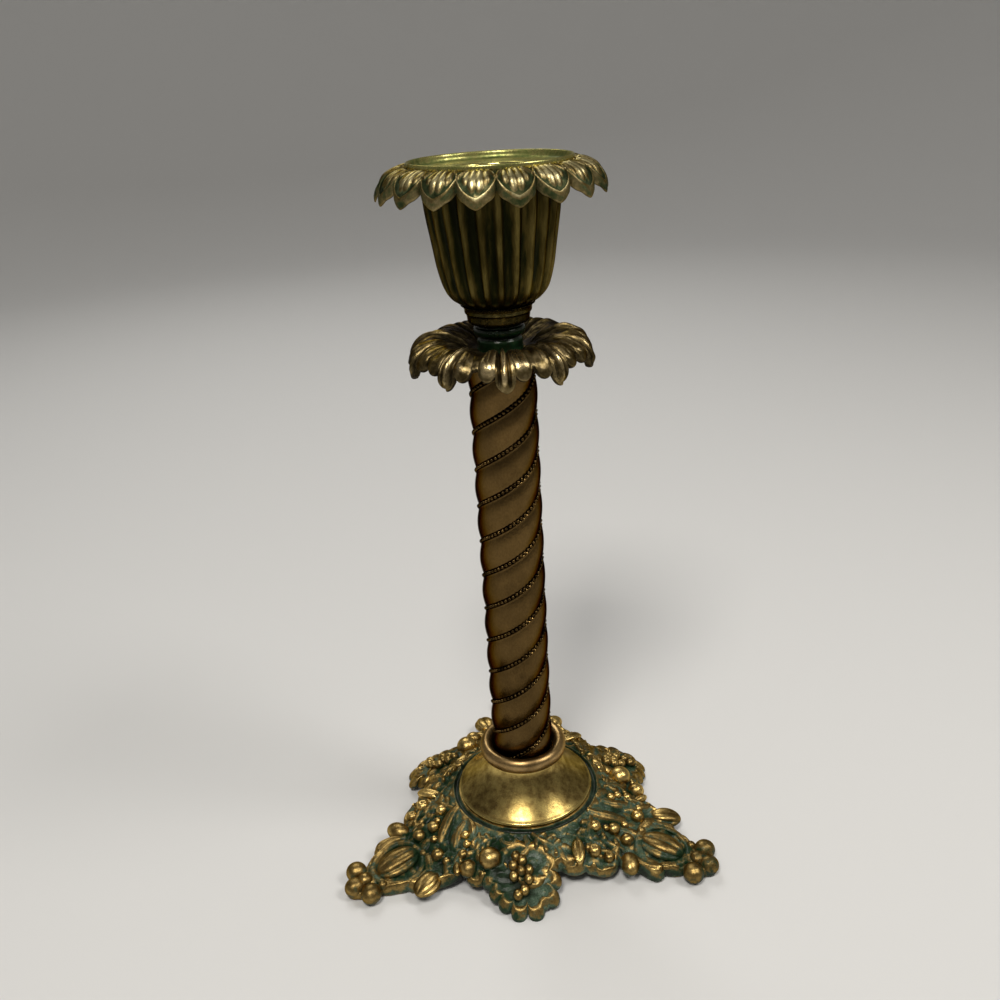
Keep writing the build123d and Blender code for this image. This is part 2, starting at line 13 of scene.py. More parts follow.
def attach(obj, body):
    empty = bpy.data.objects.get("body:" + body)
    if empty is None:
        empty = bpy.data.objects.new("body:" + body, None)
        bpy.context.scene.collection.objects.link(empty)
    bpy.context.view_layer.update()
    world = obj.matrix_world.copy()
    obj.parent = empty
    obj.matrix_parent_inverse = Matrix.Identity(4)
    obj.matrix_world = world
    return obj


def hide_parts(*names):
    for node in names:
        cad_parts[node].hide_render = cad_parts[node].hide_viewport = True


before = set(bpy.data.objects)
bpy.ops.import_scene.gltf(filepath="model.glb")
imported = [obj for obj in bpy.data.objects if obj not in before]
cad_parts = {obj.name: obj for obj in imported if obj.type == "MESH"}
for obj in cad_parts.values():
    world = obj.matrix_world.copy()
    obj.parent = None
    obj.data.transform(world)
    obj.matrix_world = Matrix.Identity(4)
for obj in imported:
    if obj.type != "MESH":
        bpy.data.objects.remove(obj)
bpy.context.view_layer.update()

METRE = 0.001
TURN = 2 * np.pi
LONG_ARM_ANGLES = (90, 210, 330)
SHORT_ARM_ANGLES = (270, 30, 150)
ROD_HOLE = 3.3


# Lines and masks
def smooth(value):
    """Rises from 0 to 1 with level ends: x squared times three minus two x, x held to 0..1."""
    value = np.clip(value, 0, 1)
    return value * value * (3 - 2 * value)


def crown(value, power=2):
    """Rounded hump: one minus the size of x to a power, never below 0."""
    return np.clip(1 - np.abs(value) ** power, 0, 1)


def flow(points, count):
    """Smooth line through points: between two of them runs the cubic that leaves each with
    half the step from its neighbour before to the one after, read off in count places."""
    points = np.asarray(points, float)
    place = np.linspace(0, len(points) - 1, count)
    index = np.minimum(place.astype(int), len(points) - 2)
    part = (place - index)[:, None]
    slope = np.gradient(points, axis=0)
    start, end = points[index], points[index + 1]
    leave, arrive = slope[index], slope[index + 1]
    square, cube = part**2, part**3
    line = (2 * cube - 3 * square + 1) * start + (cube - 2 * square + part) * leave
    return line + (3 * square - 2 * cube) * end + (cube - square) * arrive


def eased(corners, radius, steps=4):
    """Closed outline along corners, each rounded by the parabola that touches both its
    sides a radius away from it, or at 0.45 of a short side."""
    corners = np.asarray(corners, float)
    before = np.roll(corners, 1, axis=0) - corners
    after = np.roll(corners, -1, axis=0) - corners
    part = np.linspace(0, 1, steps + 1)[:, None]
    rows = []
    for corner, back, ahead in zip(corners, before, after):
        start = corner + back * min(radius / np.hypot(*back), 0.45)
        end = corner + ahead * min(radius / np.hypot(*ahead), 0.45)
        rows.append((1 - part) ** 2 * start + 2 * part * (1 - part) * corner + part**2 * end)
    return np.concatenate(rows)


def bearings(columns):
    """Angles of a grid's columns, evenly all the way round."""
    return np.arange(columns) * TURN / columns


def around(radius, angle, height):
    """Points at a radius, an angle and a height about the column's axis."""
    radius, angle, height = np.broadcast_arrays(radius, angle, height)
    return np.stack([radius * np.cos(angle), radius * np.sin(angle), height], -1)


def turned(points, degrees):
    """Points turned about the column's axis; what follows x and y in each one stays."""
    angle, points = np.radians(degrees), np.asarray(points, float)
    x, y = points[..., 0], points[..., 1]
    across, along = x * np.cos(angle) - y * np.sin(angle), x * np.sin(angle) + y * np.cos(angle)
    return np.concatenate([across[..., None], along[..., None], points[..., 2:]], -1)


def lathe(profile, columns):
    """Rows of points from a profile of radius and height carried round the axis."""
    return around(profile[:, :1], bearings(columns), profile[:, 1:])


# Shells and pieces
def shell(points, ring=False):
    """Closed shell from a grid of points whose columns meet round the back. As a ring its
    rows meet too; otherwise each end is closed by a fan to the middle of its last row."""
    rows, columns = points.shape[:2]
    corner = np.arange(rows * columns).reshape(rows, columns)
    beside = np.roll(corner, -1, axis=1)
    verts = points.reshape(-1, 3)
    below, below_beside = np.roll(corner, -1, axis=0), np.roll(beside, -1, axis=0)
    quads = np.stack([corner, beside, below_beside, below], -1)
    if ring:
        return verts, quads.reshape(-1, 4), np.zeros((0, 3), int)
    quads = quads[:-1].reshape(-1, 4)
    ends = np.stack([points[0].mean(0), points[-1].mean(0)])
    first, last = len(verts), len(verts) + 1
    top = np.stack([beside[0], corner[0], np.full(columns, first)], -1)
    bottom = np.stack([corner[-1], beside[-1], np.full(columns, last)], -1)
    return np.concatenate([verts, ends]), quads, np.concatenate([top, bottom])


def outward(part):
    """The shell with its faces outwards: turned over where the volume they enclose, a sixth
    of the sum of each triangle's corner products, comes out negative."""
    verts, quads, fans = part
    triangles = np.concatenate([quads[:, [0, 1, 2]], quads[:, [0, 2, 3]], fans])
    a, b, c = (verts[triangles[:, k]] for k in range(3))
    if np.einsum("ij,ij->", a, np.cross(b, c)) < 0:
        return verts, quads[:, ::-1], fans[:, ::-1]
    return part


def bulge(mesh, passes):
    """How far each vertex stands out of the surface round it, in millimetres: its distance
    along its normal from where it goes when it is averaged with its neighbours again and again."""
    count = len(mesh.vertices)
    verts, normals = np.zeros(count * 3), np.zeros(count * 3)
    edges = np.zeros(len(mesh.edges) * 2, int)
    mesh.vertices.foreach_get("co", verts)
    mesh.vertex_normals.foreach_get("vector", normals)
    mesh.edges.foreach_get("vertices", edges)
    one, two = edges.reshape(-1, 2).T
    ends, others = np.concatenate([one, two]), np.concatenate([two, one])
    verts, normals = verts.reshape(-1, 3) / METRE, normals.reshape(-1, 3)
    neighbours = np.bincount(ends, minlength=count)[:, None]
    relaxed = verts
    for _ in range(passes):
        total = np.stack([np.bincount(ends, relaxed[others, k], count) for k in range(3)], -1)
        relaxed = 0.5 * relaxed + 0.5 * total / neighbours
    return np.einsum("ij,ij->i", verts - relaxed, normals)


EVEN = 0.5
EVEN_BROWN = 0.63


def piece(name, parts, body, material, nodes, passes, gain, height_gain=0.0, wear_and_painted_light=None, calm=0.0):
    """One object from shells. Its relief attribute says how rubbed each vertex is: EVEN on
    an even surface, more where it bulges or stands over what lies round it, less in a hollow;
    the finish also paints shade where it is low. Standing over the surroundings counts partly
    as wear on the tops and partly as a painted highlight. An array of wear and painted light
    is added to the first vertices, one value to each, and calm, from 0 to 1, draws them all
    towards an even brown."""
    parts = [outward(part) for part in parts]
    starts = np.cumsum([0] + [len(part[0]) for part in parts[:-1]])
    verts = np.concatenate([part[0] for part in parts])
    quads = np.concatenate([part[1] + start for part, start in zip(parts, starts)])
    fans = np.concatenate([part[2] + start for part, start in zip(parts, starts)])
    mesh = bpy.data.meshes.new(name)
    mesh.vertices.add(len(verts))
    mesh.vertices.foreach_set("co", (verts * METRE).ravel())
    loops = np.concatenate([quads.ravel(), fans.ravel()])
    mesh.loops.add(len(loops))
    mesh.loops.foreach_set("vertex_index", loops)
    loop_starts = np.concatenate([np.arange(len(quads)) * 4, quads.size + np.arange(len(fans)) * 3])
    mesh.polygons.add(len(loop_starts))
    mesh.polygons.foreach_set("loop_start", loop_starts)
    mesh.update(calc_edges=True)
    mesh.shade_smooth()
    relief = EVEN + gain * bulge(mesh, passes)
    # Tops that stand over their surroundings are made more rubbed: partly wear, partly a painted highlight.
    if height_gain:
        relief += height_gain * stand_over(verts)
    # Added array of wear and painted light, one value a vertex.
    if wear_and_painted_light is not None:
        relief[: wear_and_painted_light.size] += wear_and_painted_light.ravel()
    relief += calm * (EVEN_BROWN - relief)
    attribute = mesh.attributes.new("relief", "FLOAT", "POINT")
    attribute.data.foreach_set("value", np.clip(relief, 0, 1))
    mesh.materials.append(material)
    obj = bpy.data.objects.new(name, mesh)
    bpy.context.scene.collection.objects.link(obj)
    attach(obj, body)
    if nodes:
        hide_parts(*nodes)
    return obj


def stand_over(verts, cell=0.5, reach=5):
    """How far each vertex stands over the surface within a few millimetres, in millimetres:
    the highest points on a square grid, levelled by a running mean both ways, taken from it."""
    low = verts[:, :2].min(0) - cell * reach
    cells = ((verts[:, :2] - low) / cell).astype(int)
    size = cells.max(0) + 1 + reach
    empty = -1.0
    highest = np.full(size, empty)
    np.maximum.at(highest, (cells[:, 0], cells[:, 1]), verts[:, 2])
    for axis in (0, 1, 0, 1):
        near = np.stack([np.roll(highest, shift, axis) for shift in (-1, 0, 1)])
        highest = np.where(highest == empty, near.max(0), highest)
    filled = np.maximum(highest, 0)
    window = np.ones(2 * reach + 1) / (2 * reach + 1)
    for _ in range(2):
        for axis in (0, 1):
            filled = np.apply_along_axis(np.convolve, axis, filled, window, "same")
    return verts[:, 2] - filled[cells[:, 0], cells[:, 1]]


# Shader nodes, and the group of them that the finishes share
def feed(tree, node, values):
    """Gives a node's inputs, by name or number, their values or links from other nodes."""
    for key, value in values.items():
        if isinstance(value, bpy.types.NodeSocket):
            tree.links.new(value, node.inputs[key])
        else:
            node.inputs[key].default_value = value


def blend_colour(tree, factor, first, second, mode="MIX"):
    """Colour output of a mix of two colours."""
    node = tree.nodes.new("ShaderNodeMix")
    node.data_type = "RGBA"
    node.blend_type = mode
    feed(tree, node, {0: factor, 6: first, 7: second})
    return node.outputs[2]


def arithmetic(tree, operation, first, second):
    """Output of one step of arithmetic on sockets or numbers."""
    node = tree.nodes.new("ShaderNodeMath")
    node.operation = operation
    feed(tree, node, {0: first, 1: second})
    return node.outputs[0]


def ramp(tree, value, low, high, start=0.0, end=1.0):
    """Value carried from low..high to start..end with level ends."""
    node = tree.nodes.new("ShaderNodeMapRange")
    node.interpolation_type = "SMOOTHSTEP"
    feed(tree, node, dict(enumerate((value, low, high, start, end))))
    return node.outputs[0]


def mottle(tree, vector, size, detail=3.0):
    """Noise whose patches are about size millimetres across."""
    node = tree.nodes.new("ShaderNodeTexNoise")
    feed(tree, node, {"Vector": vector, "Scale": 1 / (size * METRE), "Detail": detail, "Roughness": 0.6})
    return node.outputs["Fac"]


WIDE_PATCH, MIDDLE_PATCH, FINE_PATCH = 14.0, 2.5, 0.5
WIDE_SPREAD, MIDDLE_SPREAD = 0.45, 0.8
GREEN_METALLIC, GREEN_ROUGHER, RUBBED_SMOOTHER = 0.15, 0.3, 0.08
COLOUR_SOCKETS = ("Rubbed", "Patina", "Verdigris", "Bloom")
LIMIT_SOCKETS = ("Rub From", "Rub To", "Green From", "Green To")
AMOUNT_SOCKETS = ("Green Amount", "Bloom Amount")
GROUP_SOCKETS = [
    ("INPUT", "NodeSocketVector", ("Place",)),
    ("INPUT", "NodeSocketColor", COLOUR_SOCKETS),
    ("INPUT", "NodeSocketFloat", ("Relief", *LIMIT_SOCKETS, *AMOUNT_SOCKETS, "Gloss")),
    ("OUTPUT", "NodeSocketColor", ("Color",)),
    ("OUTPUT", "NodeSocketFloat", ("Metallic", "Roughness", "Height", "Green")),
]


def aged_metal_group():
    """Old cast brass: rubbed metal on the high places, brown patina between and green
    verdigris with a chalky bloom in the hollows, each edge broken up by noise. The colour is
    then darkened at random by noise, and by painted shade where the relief is low."""
    tree = bpy.data.node_groups.new("aged_metal", "ShaderNodeTree")
    for side, kind, labels in GROUP_SOCKETS:
        for label in labels:
            tree.interface.new_socket(label, in_out=side, socket_type=kind)
    value = tree.nodes.new("NodeGroupInput").outputs

    def times(first, second):
        return arithmetic(tree, "MULTIPLY", first, second)

    def plus(first, second):
        return arithmetic(tree, "ADD", first, second)

    wide, middle = mottle(tree, value["Place"], WIDE_PATCH), mottle(tree, value["Place"], MIDDLE_PATCH)
    fine = mottle(tree, value["Place"], FINE_PATCH, 4.0)
    spread = plus(times(plus(middle, -0.5), MIDDLE_SPREAD), times(plus(wide, -0.5), WIDE_SPREAD))
    level = plus(value["Relief"], spread)
    rubbed = ramp(tree, level, value["Rub From"], value["Rub To"])
    green = ramp(tree, level, value["Green To"], value["Green From"], 1.0, 0.0)
    green = times(green, value["Green Amount"])
    patina = blend_colour(tree, ramp(tree, middle, 0.35, 0.7), value["Patina"], value["Rubbed"])
    patina = blend_colour(tree, 0.25, value["Patina"], patina)
    colour = blend_colour(tree, rubbed, patina, value["Rubbed"])
    colour = blend_colour(tree, green, colour, value["Verdigris"])
    chalk = times(ramp(tree, fine, 0.15, 0.75), ramp(tree, wide, 0.42, 0.66))
    chalk = times(times(chalk, value["Bloom Amount"]), green)
    colour = blend_colour(tree, chalk, colour, value["Bloom"])
    # Random lighter and darker tone from noise.
    mottle_and_painted_shade = times(ramp(tree, fine, 0.3, 0.7, 0.8, 1.1), ramp(tree, wide, 0.3, 0.7, 0.72, 1.15))
    # Painted shade: the colour is darkened where the level is low, down to 0.22 in the deepest hollows.
    mottle_and_painted_shade = times(mottle_and_painted_shade, ramp(tree, level, -0.05, 0.55, 0.22, 1.0))
    mottle_and_shade_colour = tree.nodes.new("ShaderNodeCombineColor")
    feed(tree, mottle_and_shade_colour, {0: mottle_and_painted_shade, 1: mottle_and_painted_shade, 2: mottle_and_painted_shade})
    colour = blend_colour(tree, 1.0, colour, mottle_and_shade_colour.outputs[0], "MULTIPLY")
    rough = plus(value["Gloss"], plus(times(middle, 0.16), times(green, GREEN_ROUGHER)))
    feed(tree, tree.nodes.new("NodeGroupOutput"), {
        "Color": colour,
        "Metallic": plus(1.0, times(green, GREEN_METALLIC - 1)),
        "Roughness": plus(rough, times(rubbed, -RUBBED_SMOOTHER)),
        "Height": plus(fine, times(middle, 0.8)),
        "Green": green,
    })
    return tree


aged_metal = aged_metal_group()
PALE_RIM = (0.5, 0.42, 0.3)


def finish(
    name, colours, limits, amounts, gloss, bump, coat=0.0, coat_rough=0.0, rim=PALE_RIM, stretch=1.0
):
    """Material of aged brass with its own colours, limits of rubbing and green, amounts of
    green and bloom, gloss, and colour of the metal where it is seen at a flat slant. A coat
    lies on the green alone. A stretch below 1 draws the patches out upwards into streaks."""
    material = bpy.data.materials.new(name)
    material.use_nodes = True
    tree = material.node_tree
    shader = tree.nodes["Principled BSDF"]
    group = tree.nodes.new("ShaderNodeGroup")
    group.node_tree = aged_metal
    coords = tree.nodes.new("ShaderNodeTexCoord")
    relief = tree.nodes.new("ShaderNodeAttribute")
    relief.attribute_name = "relief"
    drawn = tree.nodes.new("ShaderNodeVectorMath")
    drawn.operation = "MULTIPLY"
    feed(tree, drawn, {0: coords.outputs["Object"], 1: (1, 1, stretch)})
    feed(tree, group, {"Place": drawn.outputs[0], "Relief": relief.outputs["Fac"], "Gloss": gloss})
    feed(tree, group, {label: (*colour, 1) for label, colour in zip(COLOUR_SOCKETS, colours)})
    feed(tree, group, dict(zip(LIMIT_SOCKETS + AMOUNT_SOCKETS, limits + amounts)))
    made = group.outputs
    grain = tree.nodes.new("ShaderNodeBump")
    feed(tree, grain, {"Strength": bump, "Distance": 0.4 * METRE, "Height": made["Height"]})
    normal = grain.outputs["Normal"]
    feed(tree, shader, {
        "Base Color": made["Color"], "Metallic": made["Metallic"], "Roughness": made["Roughness"],
        "Specular Tint": (*rim, 1), "Specular IOR Level": 0.25, "Normal": normal,
    })
    if coat:
        weight = arithmetic(tree, "MULTIPLY", made["Green"], coat)
        feed(tree, shader, {"Coat Weight": weight, "Coat Normal": normal, "Coat Roughness": coat_rough})
    return material


TEAL = (0.0105, 0.041, 0.0145)
CHALK = (0.18, 0.25, 0.18)
base_metal = finish(
    "base_metal", ((0.7, 0.49, 0.17), (0.2, 0.13, 0.042), TEAL, CHALK),
    (0.66, 1.05, 0.64, 0.42), (1.0, 0.6), gloss=0.26, bump=0.25, coat=0.3, coat_rough=0.2,
)
dome_metal = finish(
    "dome_metal", ((0.56, 0.42, 0.14), (0.3, 0.205, 0.065), TEAL, CHALK),
    (0.35, 0.75, 0.1, 0.0), (0.3, 0.2), gloss=0.22, bump=0.04, rim=(0.7, 0.6, 0.4),
)
ring_metal = finish(
    "ring_metal", ((0.46, 0.31, 0.135), (0.3, 0.19, 0.075), TEAL, CHALK),
    (0.3, 0.8, 0.3, 0.1), (0.5, 0.1), gloss=0.3, bump=0.06,
)
column_metal = finish(
    "column_metal", ((0.115, 0.07, 0.024), (0.022, 0.014, 0.0055), (0.012, 0.009, 0.005), CHALK),
    (0.36, 0.66, 0.4, 0.2), (0.95, 0.0), gloss=0.2, bump=0.2, rim=(0.16, 0.12, 0.08), stretch=0.6,
)
leaf_metal = finish(
    "leaf_metal", ((0.72, 0.56, 0.29), (0.13, 0.094, 0.036), (0.014, 0.016, 0.006), CHALK),
    (0.62, 1.05, 0.42, 0.2), (0.3, 0.1), gloss=0.24, bump=0.2, rim=(0.22, 0.18, 0.1),
)
cup_metal = finish(
    "cup_metal", ((0.14, 0.105, 0.03), (0.045, 0.033, 0.008), (0.008, 0.018, 0.003), CHALK),
    (0.42, 0.85, 0.42, 0.15), (0.8, 0.0), gloss=0.26, bump=0.15, rim=(0.3, 0.24, 0.1), stretch=0.18,
)
neck_metal = finish(
    "neck_metal", ((0.2, 0.155, 0.05), (0.055, 0.045, 0.016), (0.005, 0.035, 0.01), (0.03, 0.1, 0.04)),
    (0.6, 0.85, 0.45, 0.25), (1.0, 0.3), gloss=0.2, bump=0.12, coat=0.6, coat_rough=0.1,
    rim=(0.3, 0.25, 0.12),
)
petal_metal = finish(
    "petal_metal",
    ((0.54, 0.47, 0.25), (0.16, 0.115, 0.042), (0.035, 0.068, 0.022), (0.15, 0.19, 0.11)),
    (0.58, 1.0, 0.5, 0.2), (0.9, 0.5), gloss=0.33, bump=0.15, rim=(0.4, 0.34, 0.2),
)
liner_metal = finish(
    "liner_metal", ((0.58, 0.51, 0.19), (0.34, 0.31, 0.1), (0.04, 0.12, 0.025), CHALK),
    (0.2, 0.9, 0.8, 0.2), (0.7, 0.05), gloss=0.14, bump=0.08,
)
steel = finish(
    "steel", ((0.45, 0.44, 0.42), (0.3, 0.29, 0.27), (0.1, 0.09, 0.08), (0.2, 0.2, 0.19)),
    (0.35, 0.7, 0.2, 0.0), (0.5, 0.2), gloss=0.3, bump=0.12, rim=(0.8, 0.8, 0.8),
)


# Base: heights and plan
ARM_HEIGHT, ARM_FLAT_REACH = 3.6, 60.0
SEAT_HEIGHT, SEAT_RADIUS = 14.0, 25.5
LEAF_END_HEIGHT, LEAF_END_REACH = 1.9, 49.5
GROOVE_RADIUS = 24.9


def plate_top(reach):
    """Height of the base's face: level at the arms' ends, then rising with the square of the
    way in to the seat of the dome."""
    share = np.clip((ARM_FLAT_REACH - reach) / (ARM_FLAT_REACH - SEAT_RADIUS), 0, 1)
    return ARM_HEIGHT + (SEAT_HEIGHT - ARM_HEIGHT) * share**2


def leaf_top(reach):
    """Height of a short arm's leaf: a straight fall from the seat to the leaf's end."""
    share = (LEAF_END_REACH - reach) / (LEAF_END_REACH - SEAT_RADIUS)
    return LEAF_END_HEIGHT + (SEAT_HEIGHT - LEAF_END_HEIGHT) * share


def edge_reach(angles, discs):
    """Distance of a plan's edge in each direction, the plan being discs of centre and radius
    that overlap: the far crossing of the direction with each disc, the largest of them."""
    reach = np.zeros_like(angles)
    for x, y, radius in discs:
        distance, bearing = np.hypot(x, y), np.arctan2(y, x)
        across = distance * np.sin(angles - bearing)
        along = distance * np.cos(angles - bearing)
        inside = np.clip(radius**2 - across**2, 0, None)
        far = along + np.sqrt(inside)
        reach = np.maximum(reach, np.where((np.abs(across) < radius) & (far > 0), far, 0))
    return reach


ARM_DISCS = [
    (0, 0, 37.0), (30, 0, 17.0), (38, 2, 15.5), (44, 0, 13.0), (48, 0, 10.6), (52, 0, 9.9), (56, 0, 8.4),
    (59, 0, 6.6), (62, 0, 5.4), (66, 0, 4.4), (68.5, 0, 3.0), (54, -10, 2.6), (51, 9.2, 2.8), (36, -15, 6.0),
]
SHORT_DISCS = [(34, -18, 4.2), (32, 21, 4.5), (31, 14, 6.0), (36, 0, 6.0)]


# Leaves and scrolls: places along and across an arm, half width, lobes a side, and rise
LONG_ARM_LEAVES = [
    ([(26.5, -3.6), (30, -2.4), (34, 0.2), (37.5, 3.0)], 1.9, 0, 1.9),
    ([(28, 4.0), (31.5, 5.5), (34, 8.0), (36, 11.0)], 1.7, 0, 1.6),
    ([(28, -5.0), (29.5, -8.5), (30.5, -12), (33.5, -14.5)], 2.7, 3, 1.8),
    ([(26.4, 4.6), (27, 8.0), (28.5, 10.5)], 1.3, 0, 1.3),
    ([(26.4, 11.6), (28.5, 14.5), (31.5, 16.5)], 2.3, 2, 1.6),
    ([(45, -9.5), (49, -11), (53.5, -10.6), (57, -8.6), (60, -6.0)], 2.0, 0, 1.9),
    ([(46, 9.0), (50, 10.3), (54, 9.8), (58, 7.5), (61, 4.5)], 1.4, 0, 1.3),
    ([(41.5, -9.0), (38, -10), (34.5, -10.5)], 2.1, 2, 1.4),
    ([(43, 3.5), (44, 7.0), (45, 10.5)], 1.6, 0, 1.2),
    ([(36, 7.0), (38.5, 10.5), (41, 14), (43, 17)], 2.3, 2, 1.3),
    ([(33, -16.5), (37, -14), (41, -11.8)], 2.1, 2, 1.5),
    ([(60.5, 0), (63, 0), (66, 0)], 2.6, 0, 1.3),
    ([(38, -1.5), (41, -0.5), (43.5, 0.8)], 1.3, 0, 1.0),
]
SHORT_ARM_LEAVES = [
    ([(26.8, -9.6), (28.8, -8.6), (29.4, -6.3), (27.4, -4.6)], 1.3, 0, 1.5),
    ([(27, -1.4), (29.8, -0.8), (32.0, -2.6), (31.0, -4.4)], 1.3, 0, 1.5),
    ([(26.6, 1.2), (28.8, 3.6), (30.2, 6.4), (31, 8.8)], 2.3, 3, 2.0),
    ([(28, 8.6), (31.5, 9.8), (35.5, 11), (39.5, 11.4)], 3.0, 3, 1.7),
    ([(36, -16.6), (39, -15), (40.6, -11.8), (39.6, -9.6)], 1.8, 0, 1.7),
    ([(26, -12), (26.6, -15.5), (28, -18.5)], 1.9, 3, 1.5),
    ([(26.3, -22), (29, -24.5), (33, -26.5)], 1.9, 3, 1.4),
    ([(26, 13), (26.8, 18), (26.6, 22), (27.4, 26)], 1.8, 4, 1.5),
    ([(34.5, 13.6), (36.5, 17), (37, 21)], 1.6, 2, 1.3),
    ([(33.5, -9.6), (36.5, -9.2)], 1.4, 0, 1.1),
]


def leaf_caps(leaves, degrees, count=27):
    """Caps that make up leaves: place, radius and rise. One row of them follows the line of a
    leaf with lobes, which stand out to both its sides, and three rows that of a plain one."""
    caps = []
    way = np.linspace(0, 1, count)
    part = 0.35 + 0.65 * np.sin(np.pi * (0.12 + 0.8 * way**1.2))
    for spine, width, lobes, rise in leaves:
        line = flow(spine, count)
        ahead = np.gradient(line, axis=0)
        ahead /= np.hypot(*ahead.T)[:, None]
        beside = np.stack([-ahead[:, 1], ahead[:, 0]], -1)
        for shift in (0.0,) if lobes else (-0.55, 0.0, 0.55):
            for spot, k in zip(line + beside * width * shift * part[:, None], part):
                caps.append((*spot, width * 0.6 * k, rise * k * (1.0 - 0.3 * abs(shift))))
        wide = 1.25 * width
        for number in range(lobes):
            k = int(5 + 17 * number / max(lobes - 1, 1))
            for side in (-1, 1):
                for out, size in ((0.3, 0.42), (0.5, 0.46), (0.7, 0.48), (0.9, 0.42)):
                    spot = line[k] + wide * out * (side * 0.8 * beside[k] + 0.55 * ahead[k])
                    caps.append((*spot, wide * size, rise * (0.75 + 0.25 * out)))
    return turned(caps, degrees)


PLATE_START, PLATE_WALL, BOSS_RADIUS = 23.4, 3.2, 9.0


def base_plate(columns=900, rows=88, round_over=0.7):
    """Shell of the base: rows run out over its face, round the edge and back under it, and
    columns go round from 60 degrees before a long arm. The face is plate_top with folds that
    swirl outwards, a groove round the dome's foot, and leaves, which are worked out for a
    third of the base and repeated: the highest of their caps, each the root of one minus the
    square of the way out from its middle."""
    angles = np.radians(LONG_ARM_ANGLES[0] - 60) + bearings(columns)
    discs = [turned(ARM_DISCS, turn) for turn in LONG_ARM_ANGLES]
    discs += [turned(SHORT_DISCS, turn) for turn in SHORT_ARM_ANGLES]
    edge = edge_reach(angles, np.concatenate(discs))
    share = np.linspace(0, 1, rows)[:, None] ** 1.15
    face_reach = PLATE_START + (edge - round_over - PLATE_START) * share
    reach = np.concatenate([np.full((1, columns), ROD_HOLE), face_reach])
    swirl = np.abs(np.sin(12 * angles + reach * 0.5)) * np.abs(np.sin(18 * angles - reach * 0.7))
    near_edge = smooth((edge - reach) / 1.5)
    fold = 1.1 * (swirl**0.6 - 0.5) * smooth((reach - GROOVE_RADIUS - 1.4) / 1.5) * near_edge
    third = reach[:, : columns // 3]
    bearing = np.radians(-60) + bearings(columns)[: columns // 3]
    x, y = third * np.cos(bearing), third * np.sin(bearing)
    leaves = np.zeros_like(third)
    caps = [leaf_caps(SHORT_ARM_LEAVES, side) for side in (60, -60)] + [leaf_caps(LONG_ARM_LEAVES, 0)]
    for cap_x, cap_y, radius, rise in np.concatenate(caps):
        out = ((x - cap_x) ** 2 + (y - cap_y) ** 2) / radius**2
        leaves = np.maximum(leaves, 1.3 * rise * np.sqrt(np.clip(1 - out, 0, 1)))
    leaves = np.tile(leaves, 3) * (0.25 + 0.75 * near_edge)
    groove = 1.2 * crown(np.clip(reach - GROOVE_RADIUS, -1, 1))
    top = plate_top(reach) + np.maximum(fold, leaves - 0.2) - groove
    bend = np.linspace(0, np.pi, 8)[1:-1, None]
    round_reach = edge - 0.9 + 0.9 * np.sin(bend) ** 0.7
    round_height = plate_top(edge) - PLATE_WALL / 2 * (1 - np.cos(bend))
    under_reach = ROD_HOLE + (edge - round_over - ROD_HOLE) * np.linspace(1, 0, 9)[:, None]
    boss = 1.2 * smooth((BOSS_RADIUS - under_reach) / 0.6)
    under = plate_top(under_reach) - PLATE_WALL - boss
    parts = ((reach, top), (round_reach, round_height), (under_reach, under))
    grids = [around(out, angles, np.maximum(height, 0)) for out, height in parts]
    return shell(np.concatenate(grids), ring=True)


# Base: fruit, buds and berries
def fruit(
    place, size, turn=0.0, tilt=0.0, ribs=0, furrow=0.0, taper=1.0, dimple=0.0, rows=12, columns=16
):
    """Egg along its own X: across it the section swells with the sine of the way from end to
    end to the power taper, pinched in by furrows where the half sine of the ribs' angle is 0,
    and an optional dimple is pressed into its top."""
    way = np.linspace(0.12, np.pi - 0.12, rows)[:, None]
    round_angle = bearings(columns)
    pinch = 1 - furrow * (1 - np.abs(np.sin(ribs * round_angle / 2)) ** 0.7) if ribs else 1
    swell = np.sin(way) ** taper * pinch
    x = np.cos(way) + 0 * round_angle
    y = swell * np.sin(round_angle)
    z = swell * np.cos(round_angle)
    z = z - dimple * np.exp(-(x**2 + y**2) / 0.06) * (z > 0)
    x, y, z = x * size[0], y * size[1], z * size[2]
    lean = np.radians(tilt)
    leaned = [x * np.cos(lean) + z * np.sin(lean), y, z * np.cos(lean) - x * np.sin(lean)]
    return turned(np.stack(leaned, -1), turn) + np.asarray(place, float)


def ball(place, radius, rows, columns):
    """Round berry."""
    return fruit(place, (radius, radius, radius), rows=rows, columns=columns)


def on_plate(along, across, lift=0.0, surface=plate_top):
    """Point over a place along and across an arm."""
    return (along, across, float(surface(np.hypot(along, across))) + lift)


BERRIES = [
    (40.4, 7.2, 2.4), (41.3, -4.8, 2.4), (36.0, -3.8, 2.3), (30.5, -7.5, 2.2),
    (29.8, 8.2, 1.6), (31.1, 11.3, 1.5), (34.0, 13.3, 1.8),
]
SMALL_BERRIES = [
    (43.6, 2.4, 1.5), (44.6, -1.8, 1.3), (38.2, 0.6, 1.5), (33.6, -5.2, 1.3), (39.2, 11.2, 1.6),
    (60.6, 5.2, 1.6),
]
GRAPES = [
    (33.2, -5.0), (34.5, -3.0), (35.8, -6.0), (37.5, -3.5), (37.5, -1.0), (38.9, -6.0), (40.2, -1.2),
    (43.2, -2.8), (44.4, -5.0),
]


